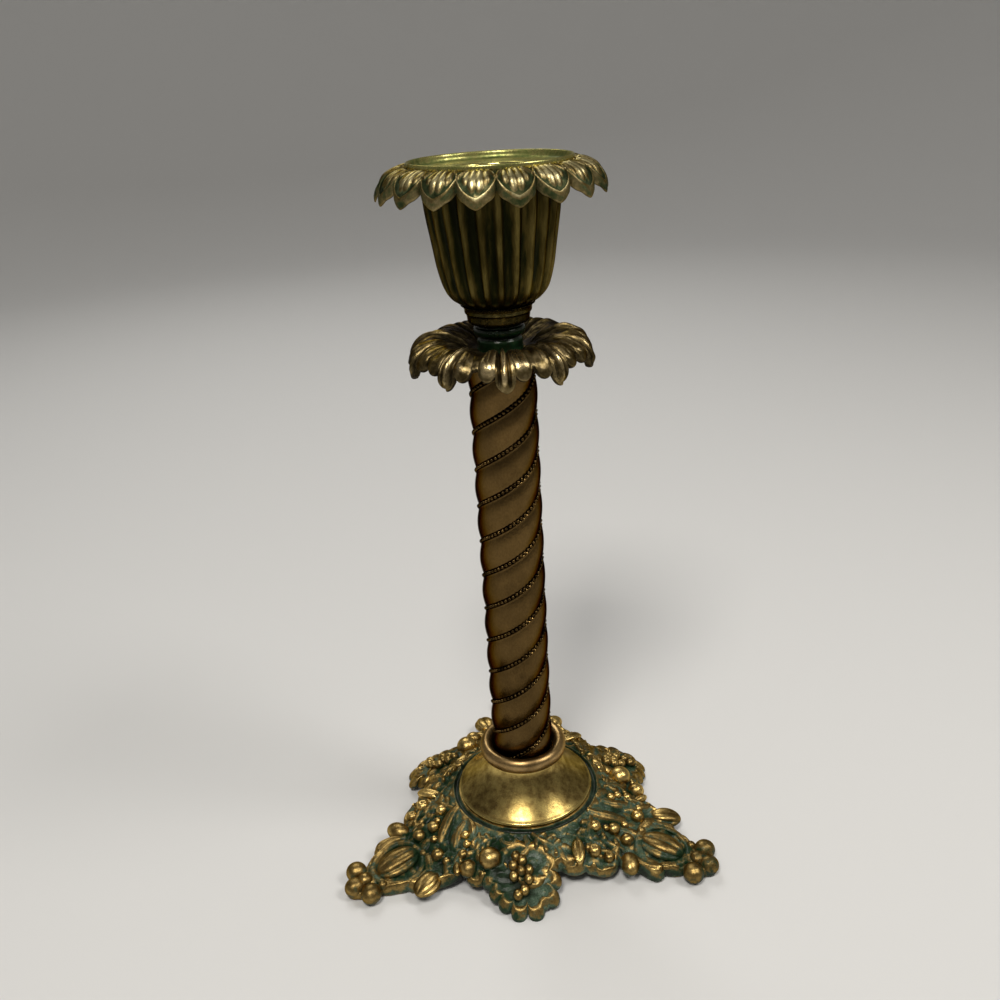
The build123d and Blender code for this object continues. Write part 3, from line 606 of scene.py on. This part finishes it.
def arm_fruit():
    """Fruit of one long arm, the arm along X: berries, a bud, the melon, a pod, a smooth egg,
    the four balls of the arm's end, and small berries between them."""
    shapes = [ball(on_plate(x, y, r * 0.25), r, 12, 18) for x, y, r in BERRIES]
    shapes += [
        fruit(on_plate(37.8, 16.0, 0.4), (3.2, 1.5, 1.6), 60),
        fruit(on_plate(52.2, -0.4, 0.5), (7.6, 5.7, 3.5), 0, tilt=8, ribs=7, furrow=0.2, taper=0.85,
              rows=22, columns=56),
        fruit(on_plate(48.4, 14.0, 0.1), (5.4, 4.4, 2.6), 22, tilt=6, ribs=6, furrow=0.2, taper=1.1,
              rows=18, columns=48),
        fruit(on_plate(45.5, -13.0, 0.3), (4.5, 3.2, 3.1), -60, rows=16, columns=28),
    ]
    for side in (-1, 1):
        shapes.append(fruit((65.2, side * 5.9, 3.35), (3.6, 3.45, 3.35), side * 35, rows=14, columns=24))
    shapes.append(fruit((68.5, 0.0, 3.2), (3.5, 3.3, 3.2), rows=14, columns=24))
    shapes.append(fruit((64.6, 0.0, 4.3), (2.6, 2.6, 2.4), rows=12, columns=20))
    return shapes + [ball(on_plate(x, y, 0.3), r, 9, 12) for x, y, r in SMALL_BERRIES]


def short_fruit():
    """Fruit of one short arm, the arm along X: two balls, two dimpled berries, a ribbed pod,
    and the bunch of grapes on the leaf."""
    shapes = [
        fruit(on_plate(32.5, -13.6, 1.2), (3.9, 3.9, 3.7), rows=16, columns=26),
        ball(on_plate(34.0, -21.0, 0.7), 3.0, 14, 22),
        fruit(on_plate(30.7, 21.5, 0.8), (2.4, 2.4, 2.4), dimple=0.45, rows=18, columns=26),
        fruit(on_plate(32.4, 26.2, 0.8), (2.0, 2.0, 2.0), dimple=0.45, rows=18, columns=26),
        fruit(on_plate(31.2, 16.0, 0.6), (5.2, 2.6, 2.2), 0, tilt=8, ribs=4, furrow=0.3, rows=16, columns=40),
    ]
    for x, y in GRAPES:
        spot = on_plate(x, y, 1.1, leaf_top)
        shapes.append(fruit(spot, (1.95, 1.65, 1.7), tilt=22, rows=10, columns=14))
    return shapes


def cartouche(columns=168, rows=12, middle=52.6, size=8.6):
    """Raised border round the melon: a rounded bar along an egg's outline, its thickness
    beaded by the size of a sine as it goes round."""
    angle = bearings(columns)
    x = middle + size * np.cos(angle)
    y = size * np.sin(angle) * (1 - 0.16 * np.cos(angle))
    bead = (1.3 - 0.35 * np.sin(angle)) * (0.84 + 0.2 * np.abs(np.sin(4.5 * angle)) ** 0.6)
    turn = bearings(rows)[:, None]
    side = bead * np.cos(turn)
    height = plate_top(np.hypot(x, y)) + 0.25 + 0.7 * bead * np.sin(turn)
    return np.stack([x + np.cos(angle) * side, y + np.sin(angle) * side, height], -1)


LEAF_MIDDLE = (40.0, -2.3)
LEAF_DISCS = [
    (0, 0, 6.5), (8.0, -2.7, 2.7), (8.0, 2.8, 2.8), (4.6, 8.3, 2.5), (-0.5, 9.4, 2.5), (-5.4, 9.0, 2.5),
    (4.9, -6.7, 2.7), (1.6, -9.7, 2.6), (-2.7, -11.7, 2.9), (5.0, 5.0, 3.0), (0, 6, 3.4), (2.0, -7.0, 3.2),
    (-2.4, -8.0, 4.0), (-6.0, 4.0, 6.0), (-7.0, -3.0, 6.0),
]


def vine_leaf(columns=288, rows=26, thick=2.3, round_over=0.6):
    """Leaf of a short arm: rows go out from its middle to its lobed edge, round it and back
    below. The edge is overlapping discs, each lobe swells towards its end, and veins run
    out from the middle to the lobes."""
    angles = bearings(columns)
    edge = edge_reach(angles, LEAF_DISCS)
    share = np.linspace(0.06, 1, rows)[:, None]
    reach = (edge - round_over) * share
    lobe = 1.25 * np.exp(-((share - 0.86) ** 2) / 0.016) * smooth((edge - 6.8) / 2.2)
    dish = 0.9 * np.exp(-((reach / 5.0) ** 2))
    vein = np.zeros_like(angles)
    for lobe_x, lobe_y, radius in LEAF_DISCS[1:9]:
        away = np.angle(np.exp(1j * (angles - np.arctan2(lobe_y, lobe_x))))
        vein = np.maximum(vein, np.exp(-(away**2) / 0.02))
    vein = 0.5 * vein * smooth(1.2 - share) * smooth((share - 0.2) * 2.5)
    bend = np.linspace(0, np.pi, 9)[1:-1, None]
    lip = edge - round_over + round_over * np.sin(bend)
    back = (edge - round_over) * np.linspace(1, 0.06, 6)[:, None]
    grids = []
    for out, rise in ((reach, lobe - dish + vein), (lip, 0.1 - 1.1 * (1 - np.cos(bend))), (back, -thick)):
        x, y = LEAF_MIDDLE[0] + out * np.cos(angles), LEAF_MIDDLE[1] + out * np.sin(angles)
        grids.append(np.stack([x, y, np.maximum(leaf_top(np.hypot(x, y)) + rise, 0)], -1))
    return np.concatenate(grids)


def base_wear(parts):
    """Wear of the base, less to the front, least in the groove round the dome and most at
    the ends of the short arms' leaves, and how far it is an even brown: mostly so at the
    long arms' ends, and half so to the left and back."""
    x, y = np.concatenate([part[0] for part in parts])[:, :2].T
    reach = np.hypot(x, y)
    on_short_arm = smooth(1.5 * np.sin(3 * np.arctan2(y, x)))
    wear_and_painted_light = 0.003 * y - 0.6 * crown(np.clip((reach - GROOVE_RADIUS) / 1.2, -1, 1))
    wear_and_painted_light += 0.13 * smooth((reach - 44.5) / 4) * on_short_arm
    calm = np.maximum(0.75 * smooth((reach - 58) / 6), 0.5 * smooth((-x - 36) / 14))
    return wear_and_painted_light, np.maximum(calm, 0.4 * smooth((y - 10) / 30))


plate_parts, fruit_parts = [base_plate()], []
for arm_angle in LONG_ARM_ANGLES:
    fruit_parts += [shell(turned(grid, arm_angle)) for grid in arm_fruit()]
    fruit_parts.append(shell(turned(cartouche(), arm_angle), ring=True))
for arm_angle in SHORT_ARM_ANGLES:
    fruit_parts += [shell(turned(grid, arm_angle)) for grid in short_fruit() + [vine_leaf()]]
wear_and_painted_light, calm = base_wear(plate_parts)
piece(
    "base_relief", plate_parts, "stand", base_metal, ["base_casting"],
    passes=8, gain=0.6, height_gain=0.17, wear_and_painted_light=wear_and_painted_light, calm=calm,
)
wear_and_painted_light, calm = base_wear(fruit_parts)
piece(
    "base_fruit", fruit_parts, "stand", base_metal, [],
    passes=8, gain=0.3, height_gain=0.19, wear_and_painted_light=wear_and_painted_light, calm=calm,
)


# Foot dome and ring
DOME_TOP_RADIUS, DOME_SPREAD = 12.8, 10.9
DOME_FOOT, DOME_TOP = 14.9, 28.95
RING_OUTLINE = [
    (13.3, 29.0), (14.7, 29.9), (15.1, 31.5), (14.75, 33.1), (13.6, 34.15), (12.3, 34.1), (11.3, 33.3),
    (11.0, 32.2), (11.0, 30.6), (11.0, 29.0),
]


def dome_profile(wall=1.0, lip=0.25):
    """Outline of the bell: a flare that widens from its top with the 1.7th power of the way
    down, a thin raised rim, and the same flare a wall's thickness inside."""
    share = np.linspace(1, 0, 34)
    flare = DOME_TOP_RADIUS + DOME_SPREAD * (1 - share) ** 1.7
    rise = DOME_TOP - DOME_FOOT
    raised = lip * smooth(flare - 22.4)
    outer = np.stack([flare, DOME_FOOT + rise * share + raised], -1)
    inner = np.stack([flare - wall, DOME_FOOT + (rise - 0.95) * share], -1)[::-1]
    rim = [(23.72, 14.75), (23.7, 14.4), (23.6, 14.05), (22.8, 14.0), (22.7, 14.4)]
    return np.concatenate([[(ROD_HOLE, 28.0), (ROD_HOLE, 29.0)], outer, rim, inner])


bell = shell(lathe(dome_profile(), 192), ring=True)
piece("foot_bell", [bell], "stand", dome_metal, ["foot_dome"], passes=6, gain=1.5)
foot_ring = shell(lathe(flow(RING_OUTLINE, 64), 160), ring=True)
piece(
    "foot_collar_ring", [foot_ring], "stand", ring_metal, ["foot_ring"], passes=6, gain=1.0
)


# Column
COLUMN_FOOT, COLUMN_LENGTH, PITCH, PHASE = 29.0, 142.5, 37.1, 94.7
BANDS = 3
BAND_RADIUS, BAND_OFFSET = 8.73, 1.77
COLUMN_HOLE = 7.5


def column_shell(rows=230, columns=180):
    """Twisted tube: the bands are circles set off the axis, the grid is wound with them, and
    a narrow channel lies between each two for its cord of beads."""
    height = COLUMN_FOOT + COLUMN_LENGTH * np.linspace(0, 1, rows)[:, None]
    local = bearings(columns)
    third = TURN / BANDS
    from_valley = (local + third / 2) % third - third / 2
    from_band = local % third - third / 2
    across = BAND_OFFSET * np.sin(from_band)
    radius = BAND_OFFSET * np.cos(from_band) + np.sqrt(BAND_RADIUS**2 - across**2)
    radius = radius - 0.75 * smooth((0.125 - np.abs(from_valley)) / 0.03)
    radius = radius + 0.12 * np.exp(-(((from_valley - 0.17) / 0.04) ** 2))
    grids = []
    for wall, rise in ((radius, height), (COLUMN_HOLE, height[::-8])):
        angle = local + np.radians(PHASE) + TURN * (rise - COLUMN_FOOT) / PITCH
        grids.append(around(wall, angle, rise))
    return shell(np.concatenate(grids), ring=True)


def bead_cords(spacing=1.46, radius=0.66, cord_radius=9.66):
    """Beads of the valleys: small balls a spacing apart on helices of the column's pitch."""
    lead = PITCH / TURN
    step = spacing / np.hypot(9.75, lead)
    count = int(COLUMN_LENGTH / lead / step) - 1
    angle = (np.arange(count) + 0.8) * step
    way = np.linspace(0.35, np.pi - 0.35, 5)[:, None]
    bead = around(np.sin(way), bearings(8), np.cos(way))
    beads = []
    for start in range(BANDS):
        bearing = angle + np.radians(PHASE) + start * TURN / BANDS
        centres = around(cord_radius, bearing, COLUMN_FOOT + lead * angle)
        beads += [shell(centre + radius * bead) for centre in centres]
    return beads


column = column_shell()
piece("twisted_column", [column], "stand", column_metal, ["column"], passes=10, gain=1.8)
piece("bead_cords", bead_cords(), "stand", column_metal, [], passes=2, gain=0.25)


# Collar of leaves
def along_line(line, share):
    """Points of a line at shares of its length, and the normals to its left there."""
    steps = np.hypot(*np.diff(line, axis=0).T)
    length = np.concatenate([[0], np.cumsum(steps)]) / steps.sum()
    ahead = np.gradient(line, axis=0)
    ahead /= np.hypot(*ahead.T)[:, None]
    return [np.interp(share, length, row) for row in (*line.T, -ahead[:, 1], ahead[:, 0])]


def lobed_edge(way, lobes, least):
    """Furthest share of the length that any lobe reaches at each way across, a lobe being an
    ellipse of given middle and half axes."""
    edge = np.full_like(way, least)
    for centre, half_width, middle, half_length in lobes:
        inside = np.sqrt(np.clip(1 - ((way - centre) / half_width) ** 2, 0, 1))
        edge = np.maximum(edge, np.where(inside > 0, middle + half_length * inside, least))
    return edge


LEAVES, FIRST_LEAF = 10, -89.5
LEAF_LOBES = [(0.0, 0.34, 0.83, 0.17), (0.60, 0.33, 0.71, 0.17), (1.0, 0.2, 0.64, 0.1)]
LOBE_RISE = (1.35, 1.3, 0.6)
HUB_RADIUS, HUB_FOOT, HUB_TOP = 8.4, 171.5, 175.0
LEAF_LINE = [(HUB_RADIUS, HUB_TOP), (12.7, 177.3), (19.9, 179.3), (25.4, 177.0), (27.6, 173.0), (27.7, 169.6)]


def collar_shell(columns=104 * LEAVES, rows=64, thick=2.1):
    """Ring of leaves and its wear, with painted shade and grime at the roots, painted shade on
    the drooping ends, the sides, the back and underneath, and painted light to the front. Rows
    run out along the leaf's line by shares of the length that its lobed edge has there, round
    the edge and back below. Each lobe carries a rounded finger that narrows inwards and swells
    at its end, and the middle one a midrib between two grooves; relief is set off square to
    the line."""
    angle = bearings(columns)
    leaf = (angle - np.radians(FIRST_LEAF)) / (TURN / LEAVES)
    number = np.round(leaf)
    half = np.sign(leaf - number)
    way = np.abs(leaf - number) * 2
    lean = 0.04 * half * np.sin(number * 2.3)
    edge = lobed_edge(way + lean, LEAF_LOBES, 0.5) - 0.02 * (1 + np.sin(number * 1.7 + half))
    line = flow(LEAF_LINE, 90)
    share = np.linspace(0, 1, rows)[:, None]
    along = share * edge
    relief = np.zeros_like(along)
    for (centre, half_width, middle, half_length), rise in zip(LEAF_LOBES, LOBE_RISE):
        narrow = 0.6 + 0.4 * smooth(along / middle)
        across = (way + lean - centre * narrow) / (half_width * narrow)
        rise = rise * (1 + 0.16 * np.sin(number * 2.9 + 4 * centre * half))
        swell = rise * (0.72 + 0.28 * np.exp(-(((along - middle + 0.04) / 0.17) ** 2)))
        relief = np.maximum(relief, swell * np.sqrt(np.clip(1 - across**2, 0, 1)))
    midrib = 0.5 * np.exp(-((way / 0.07) ** 2)) - 1.0 * np.exp(-(((way - 0.17) / 0.055) ** 2))
    midrib = midrib * smooth((0.97 - along) * 10)
    crease = -0.28 * np.exp(-(((way - 0.52 - 0.1 * along) / 0.035) ** 2)) * smooth((0.75 - along) * 6)
    relief = relief + (midrib + crease) * smooth(along * 5)
    relief = relief + 0.22 * np.sin(7 * angle + 9 * along) * np.sin(23 * angle - 14 * along)
    relief = (relief - 0.7) * smooth(along * 5)
    wear_and_painted_light = np.clip(0.6 * (relief - 0.35), -0.6, 0.45) * smooth(along * 4)
    # Painted shade and grime darken the roots by the neck; painted shade darkens the drooping ends.
    wear_and_painted_light = wear_and_painted_light - 0.75 * smooth((0.46 - along) * 4) - 0.3 * smooth((along - 0.7) / 0.15)
    # Painted light: lighter to the front, darker to the sides and most to the back.
    wear_and_painted_light = wear_and_painted_light + 0.19 - 0.28 * np.sin(angle) - 0.24 * np.abs(np.cos(angle))
    relief = relief * (0.3 + 0.7 * smooth((1 - share) * 9))
    radius, height, out, up = along_line(line, along)
    face = around(radius + out * relief, angle, height + up * relief)
    bend = np.linspace(0, np.pi, 7)[1:-1, None]
    ahead, depth = 0.45 * np.sin(bend), -thick * (1 - np.cos(bend)) / 2
    radius, height, out, up = along_line(line, np.minimum(edge + 0 * bend, 1))
    tips = around(radius + out * depth + up * ahead, angle, height + up * depth - out * ahead)
    back = np.linspace(0.98, 0, 22)[:, None] * edge
    radius, height, out, up = along_line(line, back)
    low = height - up * thick * (1 + 0.7 * smooth(1 - back * 2))
    at_hub = back < 0.02
    radius = np.where(at_hub, HUB_RADIUS, radius - out * thick)
    under = around(radius, angle, np.where(at_hub, HUB_FOOT, np.maximum(low, 169.9)))
    hub = lathe(np.array([(ROD_HOLE, HUB_FOOT), (ROD_HOLE, HUB_TOP)]), columns)
    hidden = np.concatenate([tips, under, hub])
    # Tips, underside and hub get painted shade.
    wear_and_painted_light = np.concatenate([wear_and_painted_light, np.full(hidden.shape[:2], -0.35)])
    return shell(np.concatenate([face, hidden]), ring=True), wear_and_painted_light


leaves, wear_and_painted_light = collar_shell()
piece(
    "leaf_collar", [leaves], "stand", leaf_metal, ["collar"], passes=10, gain=0.3, wear_and_painted_light=wear_and_painted_light
)


# Neck and cup
CUP_FOOT, CUP_MOUTH = 188.8, 224.2
NECK_OUTLINE = [
    (ROD_HOLE, HUB_TOP), (6.7, HUB_TOP), (6.8, 176.6), (6.75, 178.2), (6.3, 178.9), (6.2, 179.4),
    (6.9, 179.8), (7.5, 180.3), (7.65, 181.2), (7.45, 182.0), (6.9, 182.4), (6.9, 182.8), (7.6, 183.2),
    (8.8, 183.6), (9.15, 184.2), (9.3, 185.2), (9.5, 186.2), (9.85, 186.5), (9.95, 187.0), (9.95, 187.5),
    (10.3, 188.4), (10.5, 188.7), (10.4, CUP_FOOT), (ROD_HOLE, CUP_FOOT),
]
FLARE_FOOT = 182.9
NECK_COLUMNS = 128
neck_rows = flow(NECK_OUTLINE, 125)
neck = shell(lathe(neck_rows, NECK_COLUMNS), ring=True)
wear_and_painted_light = np.repeat(0.5 * smooth((neck_rows[:, 1:] - FLARE_FOOT) / 0.6) - 0.38, NECK_COLUMNS, 1)
piece(
    "turned_neck", [neck], "stand", neck_metal, ["neck_spool"], passes=6, gain=1.6, wear_and_painted_light=wear_and_painted_light
)

FLUTES, FIRST_RIB = 23, -86.5
CUP_OUTLINE = [
    (10.0, CUP_FOOT), (10.6, 189.1), (11.9, 189.9), (13.6, 191.2), (15.4, 194.0), (16.9, 199.6),
    (17.85, 205.9), (19.2, 215.0), (19.75, 222.0), (19.8, CUP_MOUTH),
]
CUP_INSIDE = [
    (19.4, CUP_MOUTH), (17.75, CUP_MOUTH), (17.65, 224.0), (17.4, 219.0), (16.6, 212.0), (15.6, 205.0),
    (14.6, 199.0), (13.1, 194.5), (9.4, 192.1), (9.0, 192.0), (3.4, 192.0), (ROD_HOLE, 191.9),
    (ROD_HOLE, CUP_FOOT),
]


def cup_shell(columns=18 * FLUTES):
    """Fluted bell and its wear, darker in the flutes and with painted light on its right side:
    rows climb the outside, cross the mouth, come down the bore and close over the floor. Each
    rib is rounded and each flute hollow, deepest between two ribs, and both fade out at the
    foot, where the flutes end in round arches."""
    angle = bearings(columns)
    rib = (angle - np.radians(FIRST_RIB)) / (TURN / FLUTES)
    way = np.abs(rib - np.round(rib)) * 2
    radius, height = np.split(flow(CUP_OUTLINE, 64), 2, axis=1)
    share = np.clip((height - CUP_FOOT - 0.8) / 2.6, 0, 1)
    arch = smooth((share - 0.35 * (1 - crown(way - 1))) * 1.6)
    flute = 1.2 * smooth((way - 0.12) / 0.66) ** 0.85 * arch
    flute = flute * smooth((CUP_MOUTH + 0.4 - height) / 0.8 + 0.4)
    outside = around(radius - flute, angle, height)
    inside = lathe(np.array(CUP_INSIDE), columns)
    # Darker in the flutes; painted light makes the right side lighter and the left darker.
    wear_and_painted_light = 0.05 - 0.24 * flute + 0.1 * np.cos(angle)
    return shell(np.concatenate([outside, inside]), ring=True), wear_and_painted_light


cup, wear_and_painted_light = cup_shell()
piece("fluted_cup", [cup], "stand", cup_metal, ["cup"], passes=10, gain=0.6, wear_and_painted_light=wear_and_painted_light)


# Nozzle: petal pan and socket liner
PETALS, FIRST_PETAL = 18, 1.6
PETAL_ROOT = 23.7
PETAL_LINE = [(PETAL_ROOT, 227.6), (26.4, 227.5), (29.6, 225.9), (31.6, 223.4), (32.8, 220.75)]
TUBE_HOLE, TUBE_OUTSIDE, TUBE_FOOT = 11.0, 11.9, 201.0
DISH_SEAT = 226.0
PAN_WEB = [
    (20.9, CUP_MOUTH), (17.35, CUP_MOUTH), (17.35, 220.7), (15.85, 220.7), (15.85, CUP_MOUTH),
    (12.05, CUP_MOUTH), (12.05, DISH_SEAT), (23.65, DISH_SEAT),
]


def petal_shell(columns=52 * PETALS, rows=60):
    """Ring of drooping petals and its wear, with painted shade on the petals to the left and
    right. A petal's edge swells out from the notch and comes to a blunt point; a thin border
    stands along it, and four fingers run out from the root over the sunken field and end in
    rounded tips before the border."""
    angle = bearings(columns)
    petal = (angle - np.radians(FIRST_PETAL)) / (TURN / PETALS)
    way = np.abs(petal - np.round(petal)) * 2
    edge = 28.6 + 4.05 * (0.75 * np.sqrt(1 - way**2.6) + 0.25 * (1 - way) ** 0.8)
    line = flow(PETAL_LINE, 60).T
    share = np.linspace(0, 1, rows)[:, None] ** 0.8
    reach = PETAL_ROOT + (edge - PETAL_ROOT) * share
    slope = np.gradient(edge, angle[1] - angle[0]) / edge
    from_tip = (edge - reach) / np.hypot(1, np.clip(slope, -1.6, 1.6)) * 1.25
    half = 0.7 + 0.3 * smooth((reach - PETAL_ROOT) / 4.6)
    from_side = (half - way) * reach * TURN / 2 / PETALS + 3 * np.clip(reach - 28.2, 0, None)
    inset = np.minimum(from_tip, from_side)
    border = crown(np.clip((inset - 0.26) / 0.34, -1, 1))
    fingers = np.zeros_like(reach)
    for centre, half_width, end, rise in ((0.2, 0.24, 0.88, 1.0), (0.6, 0.22, 0.78, 0.8)):
        across = (way - centre * (0.75 + 0.25 * share)) / (half_width * (0.8 + 0.3 * share))
        past = np.clip((share - end + 0.2) / 0.2, 0, 1)
        fingers = np.maximum(fingers, rise * np.sqrt(np.clip(1 - across**2 - past**2, 0, 1)))
    field = smooth((inset - 0.42) / 0.35)
    gap = smooth(-inset / 0.4)
    carved = (1.3 * fingers - 0.8 * field - 0.9 * gap) * smooth(share * 7)
    face = around(reach, angle, np.interp(reach, *line) + 0.25 * border + carved)
    wear_and_painted_light = 0.05 + 0.16 * border - 0.28 * field + 0.85 * fingers - 0.5 * gap
    # Painted shade: petals to the left and right are darker and greener, the left a little more than the
    # right.
    wear_and_painted_light = wear_and_painted_light + 0.05 * np.cos(angle) - 0.27 * np.abs(np.cos(angle))
    wall_height = 2.1 + 1.0 * smooth((way - 0.45) / 0.5)
    walls = []
    for ahead, down in ((0.1, 0.12), (0.14, 0.4), (0.14, 0.75), (0.0, 0.95), (-0.3, 1.0)):
        walls.append(around(edge + ahead, angle, np.interp(edge, *line) - down * wall_height))
    walls = np.stack(walls)
    back_share = np.linspace(0.96, 0, 14)[:, None]
    back_reach = 21.6 + (edge - 0.5 - 21.6) * back_share
    low = np.interp(back_reach, *line) - 2.0 - 1.4 * smooth(1 - back_share)
    low = np.where(back_share == 0, CUP_MOUTH, np.minimum(low, CUP_MOUTH + 0.4))
    back = around(back_reach, angle, low)
    web = lathe(eased(PAN_WEB, 0.25, 2), columns)
    wear_and_painted_light = np.concatenate([wear_and_painted_light, np.full(walls.shape[:2], -0.2)])
    return shell(np.concatenate([face, walls, back, web]), ring=True), wear_and_painted_light


petals, wear_and_painted_light = petal_shell()
piece(
    "petal_ring", [petals], "nozzle", petal_metal, ["petal_pan"], passes=8, gain=0.5, wear_and_painted_light=wear_and_painted_light
)

liner_outline = np.concatenate([
    [(0.4, TUBE_FOOT)],
    eased([(0.02, TUBE_FOOT), (TUBE_OUTSIDE, TUBE_FOOT), (TUBE_OUTSIDE, DISH_SEAT)], 0.6)[5:10],
    [(TUBE_OUTSIDE, 225.6), (12.3, DISH_SEAT), (22.9, DISH_SEAT)],
    [(23.4, 226.15), (23.5, 226.8), (23.5, 228.3)],
    flow([(23.5, 228.5), (23.35, 228.95), (23.05, 229.1), (22.75, 228.95), (22.5, 228.5)], 10),
    flow([(22.45, 228.2), (22.2, 227.6), (21.4, 227.05), (18.0, 226.9), (13.2, 226.88), (11.6, 226.8),
          (11.05, 226.2)], 20),
    [(TUBE_HOLE, 225.4), (TUBE_HOLE, 214.0), (TUBE_HOLE, 203.0), (10.6, 202.1), (9.8, 201.9), (0.4, 201.9)],
])
dish = shell(lathe(liner_outline, 160))
piece("socket_dish", [dish], "nozzle", liner_metal, ["socket_liner"], passes=6, gain=1.5)

for node_name in ("tie_rod", "lower_washer", "lower_nut", "upper_nut"):
    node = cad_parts[node_name]
    node.data.materials.clear()
    node.data.materials.append(steel)


# Floor, backdrop, lamps and camera
FLOOR_REACH, FLOOR_BEND, WALL_HEIGHT = 1.2, 0.9, 2.4


def sweep_backdrop(columns=96):
    """Pale floor that bends up into a wall far all round: a quarter circle between both."""
    bend = np.linspace(0, np.pi / 2, 17)
    curve = [FLOOR_REACH + FLOOR_BEND * np.sin(bend), FLOOR_BEND - FLOOR_BEND * np.cos(bend)]
    profile = [[(FLOOR_REACH / 2, 0.0)], np.stack(curve, -1), [(FLOOR_REACH + FLOOR_BEND, WALL_HEIGHT)]]
    verts, quads, fans = shell(lathe(np.concatenate(profile), columns))
    mesh = bpy.data.meshes.new("floor_sweep")
    mesh.from_pydata(verts[:-1].tolist(), [], quads.tolist() + fans[:columns].tolist())
    mesh.shade_smooth()
    return mesh


floor_finish = bpy.data.materials.new("pale_floor")
floor_finish.use_nodes = True
floor_tree = floor_finish.node_tree
feed(floor_tree, floor_tree.nodes["Principled BSDF"], {"Base Color": (0.72, 0.72, 0.71, 1), "Roughness": 0.9})
floor_mesh = sweep_backdrop()
floor_mesh.materials.append(floor_finish)
floor = bpy.data.objects.new("floor_sweep", floor_mesh)
bpy.context.scene.collection.objects.link(floor)


def faced(spot, side, rise, back):
    """Matrix that puts a lamp or camera at a spot, with its own X, Y and Z along three ways."""
    turn = Matrix(np.stack([side, rise, back], 1).tolist()).to_4x4()
    return Matrix.Translation(spot) @ turn


def lamp(name, spot, aim, size, power, colour):
    """Square soft lamp at a spot, turned so that it shines at its aim."""
    light = bpy.data.lights.new(name, "AREA")
    light.size = size
    light.energy = power
    light.color = colour
    obj = bpy.data.objects.new(name, light)
    back = np.subtract(spot, aim)
    back /= np.linalg.norm(back)
    side = np.cross((0, 0, 1), back)
    side /= np.linalg.norm(side)
    obj.matrix_world = faced(spot, side, np.cross(back, side), back)
    bpy.context.scene.collection.objects.link(obj)


lamp("front_lamp", (-0.14, -0.5, 0.95), (0, 0, 0.08), size=0.26, power=5.6, colour=(1.0, 0.96, 0.9))
lamp("right_lamp", (0.55, -0.2, 0.8), (0, 0, 0.08), size=0.3, power=2.8, colour=(1.0, 0.97, 0.93))
lamp("back_lamp", (-0.2, 0.75, 0.9), (0, 0, 0.1), size=0.5, power=2.8, colour=(1.0, 0.99, 0.97))

world = bpy.data.worlds.new("room")
bpy.context.scene.world = world
world.use_nodes = True
feed(world.node_tree, world.node_tree.nodes["Background"], {"Color": (0.3, 0.29, 0.28, 1), "Strength": 0.7})


CAMERA_SPOT = (-0.00452, -0.2876, 0.2518)
CAMERA_YAW, CAMERA_PITCH, CAMERA_ROLL = 0.33, 23.62, -3.48
CAMERA_LENS = 35.67


def aim_camera():
    """Camera where the photograph was taken from: turned to the right by its yaw, tilted down
    by its pitch and rolled, all in degrees."""
    yaw, pitch, roll = np.radians((CAMERA_YAW, CAMERA_PITCH, CAMERA_ROLL))
    ahead = np.array([np.sin(yaw) * np.cos(pitch), np.cos(yaw) * np.cos(pitch), -np.sin(pitch)])
    level = np.array([np.cos(yaw), -np.sin(yaw), 0])
    rise = np.cross(level, ahead)
    side = np.cos(roll) * level + np.sin(roll) * rise
    up = np.cos(roll) * rise - np.sin(roll) * level
    data = bpy.data.cameras.new("photo_camera")
    data.lens = CAMERA_LENS
    data.clip_start = 0.01
    camera = bpy.data.objects.new("photo_camera", data)
    camera.matrix_world = faced(CAMERA_SPOT, side, up, -ahead)
    bpy.context.scene.collection.objects.link(camera)
    bpy.context.scene.camera = camera


aim_camera()
bpy.context.scene.view_settings.view_transform = "Standard"
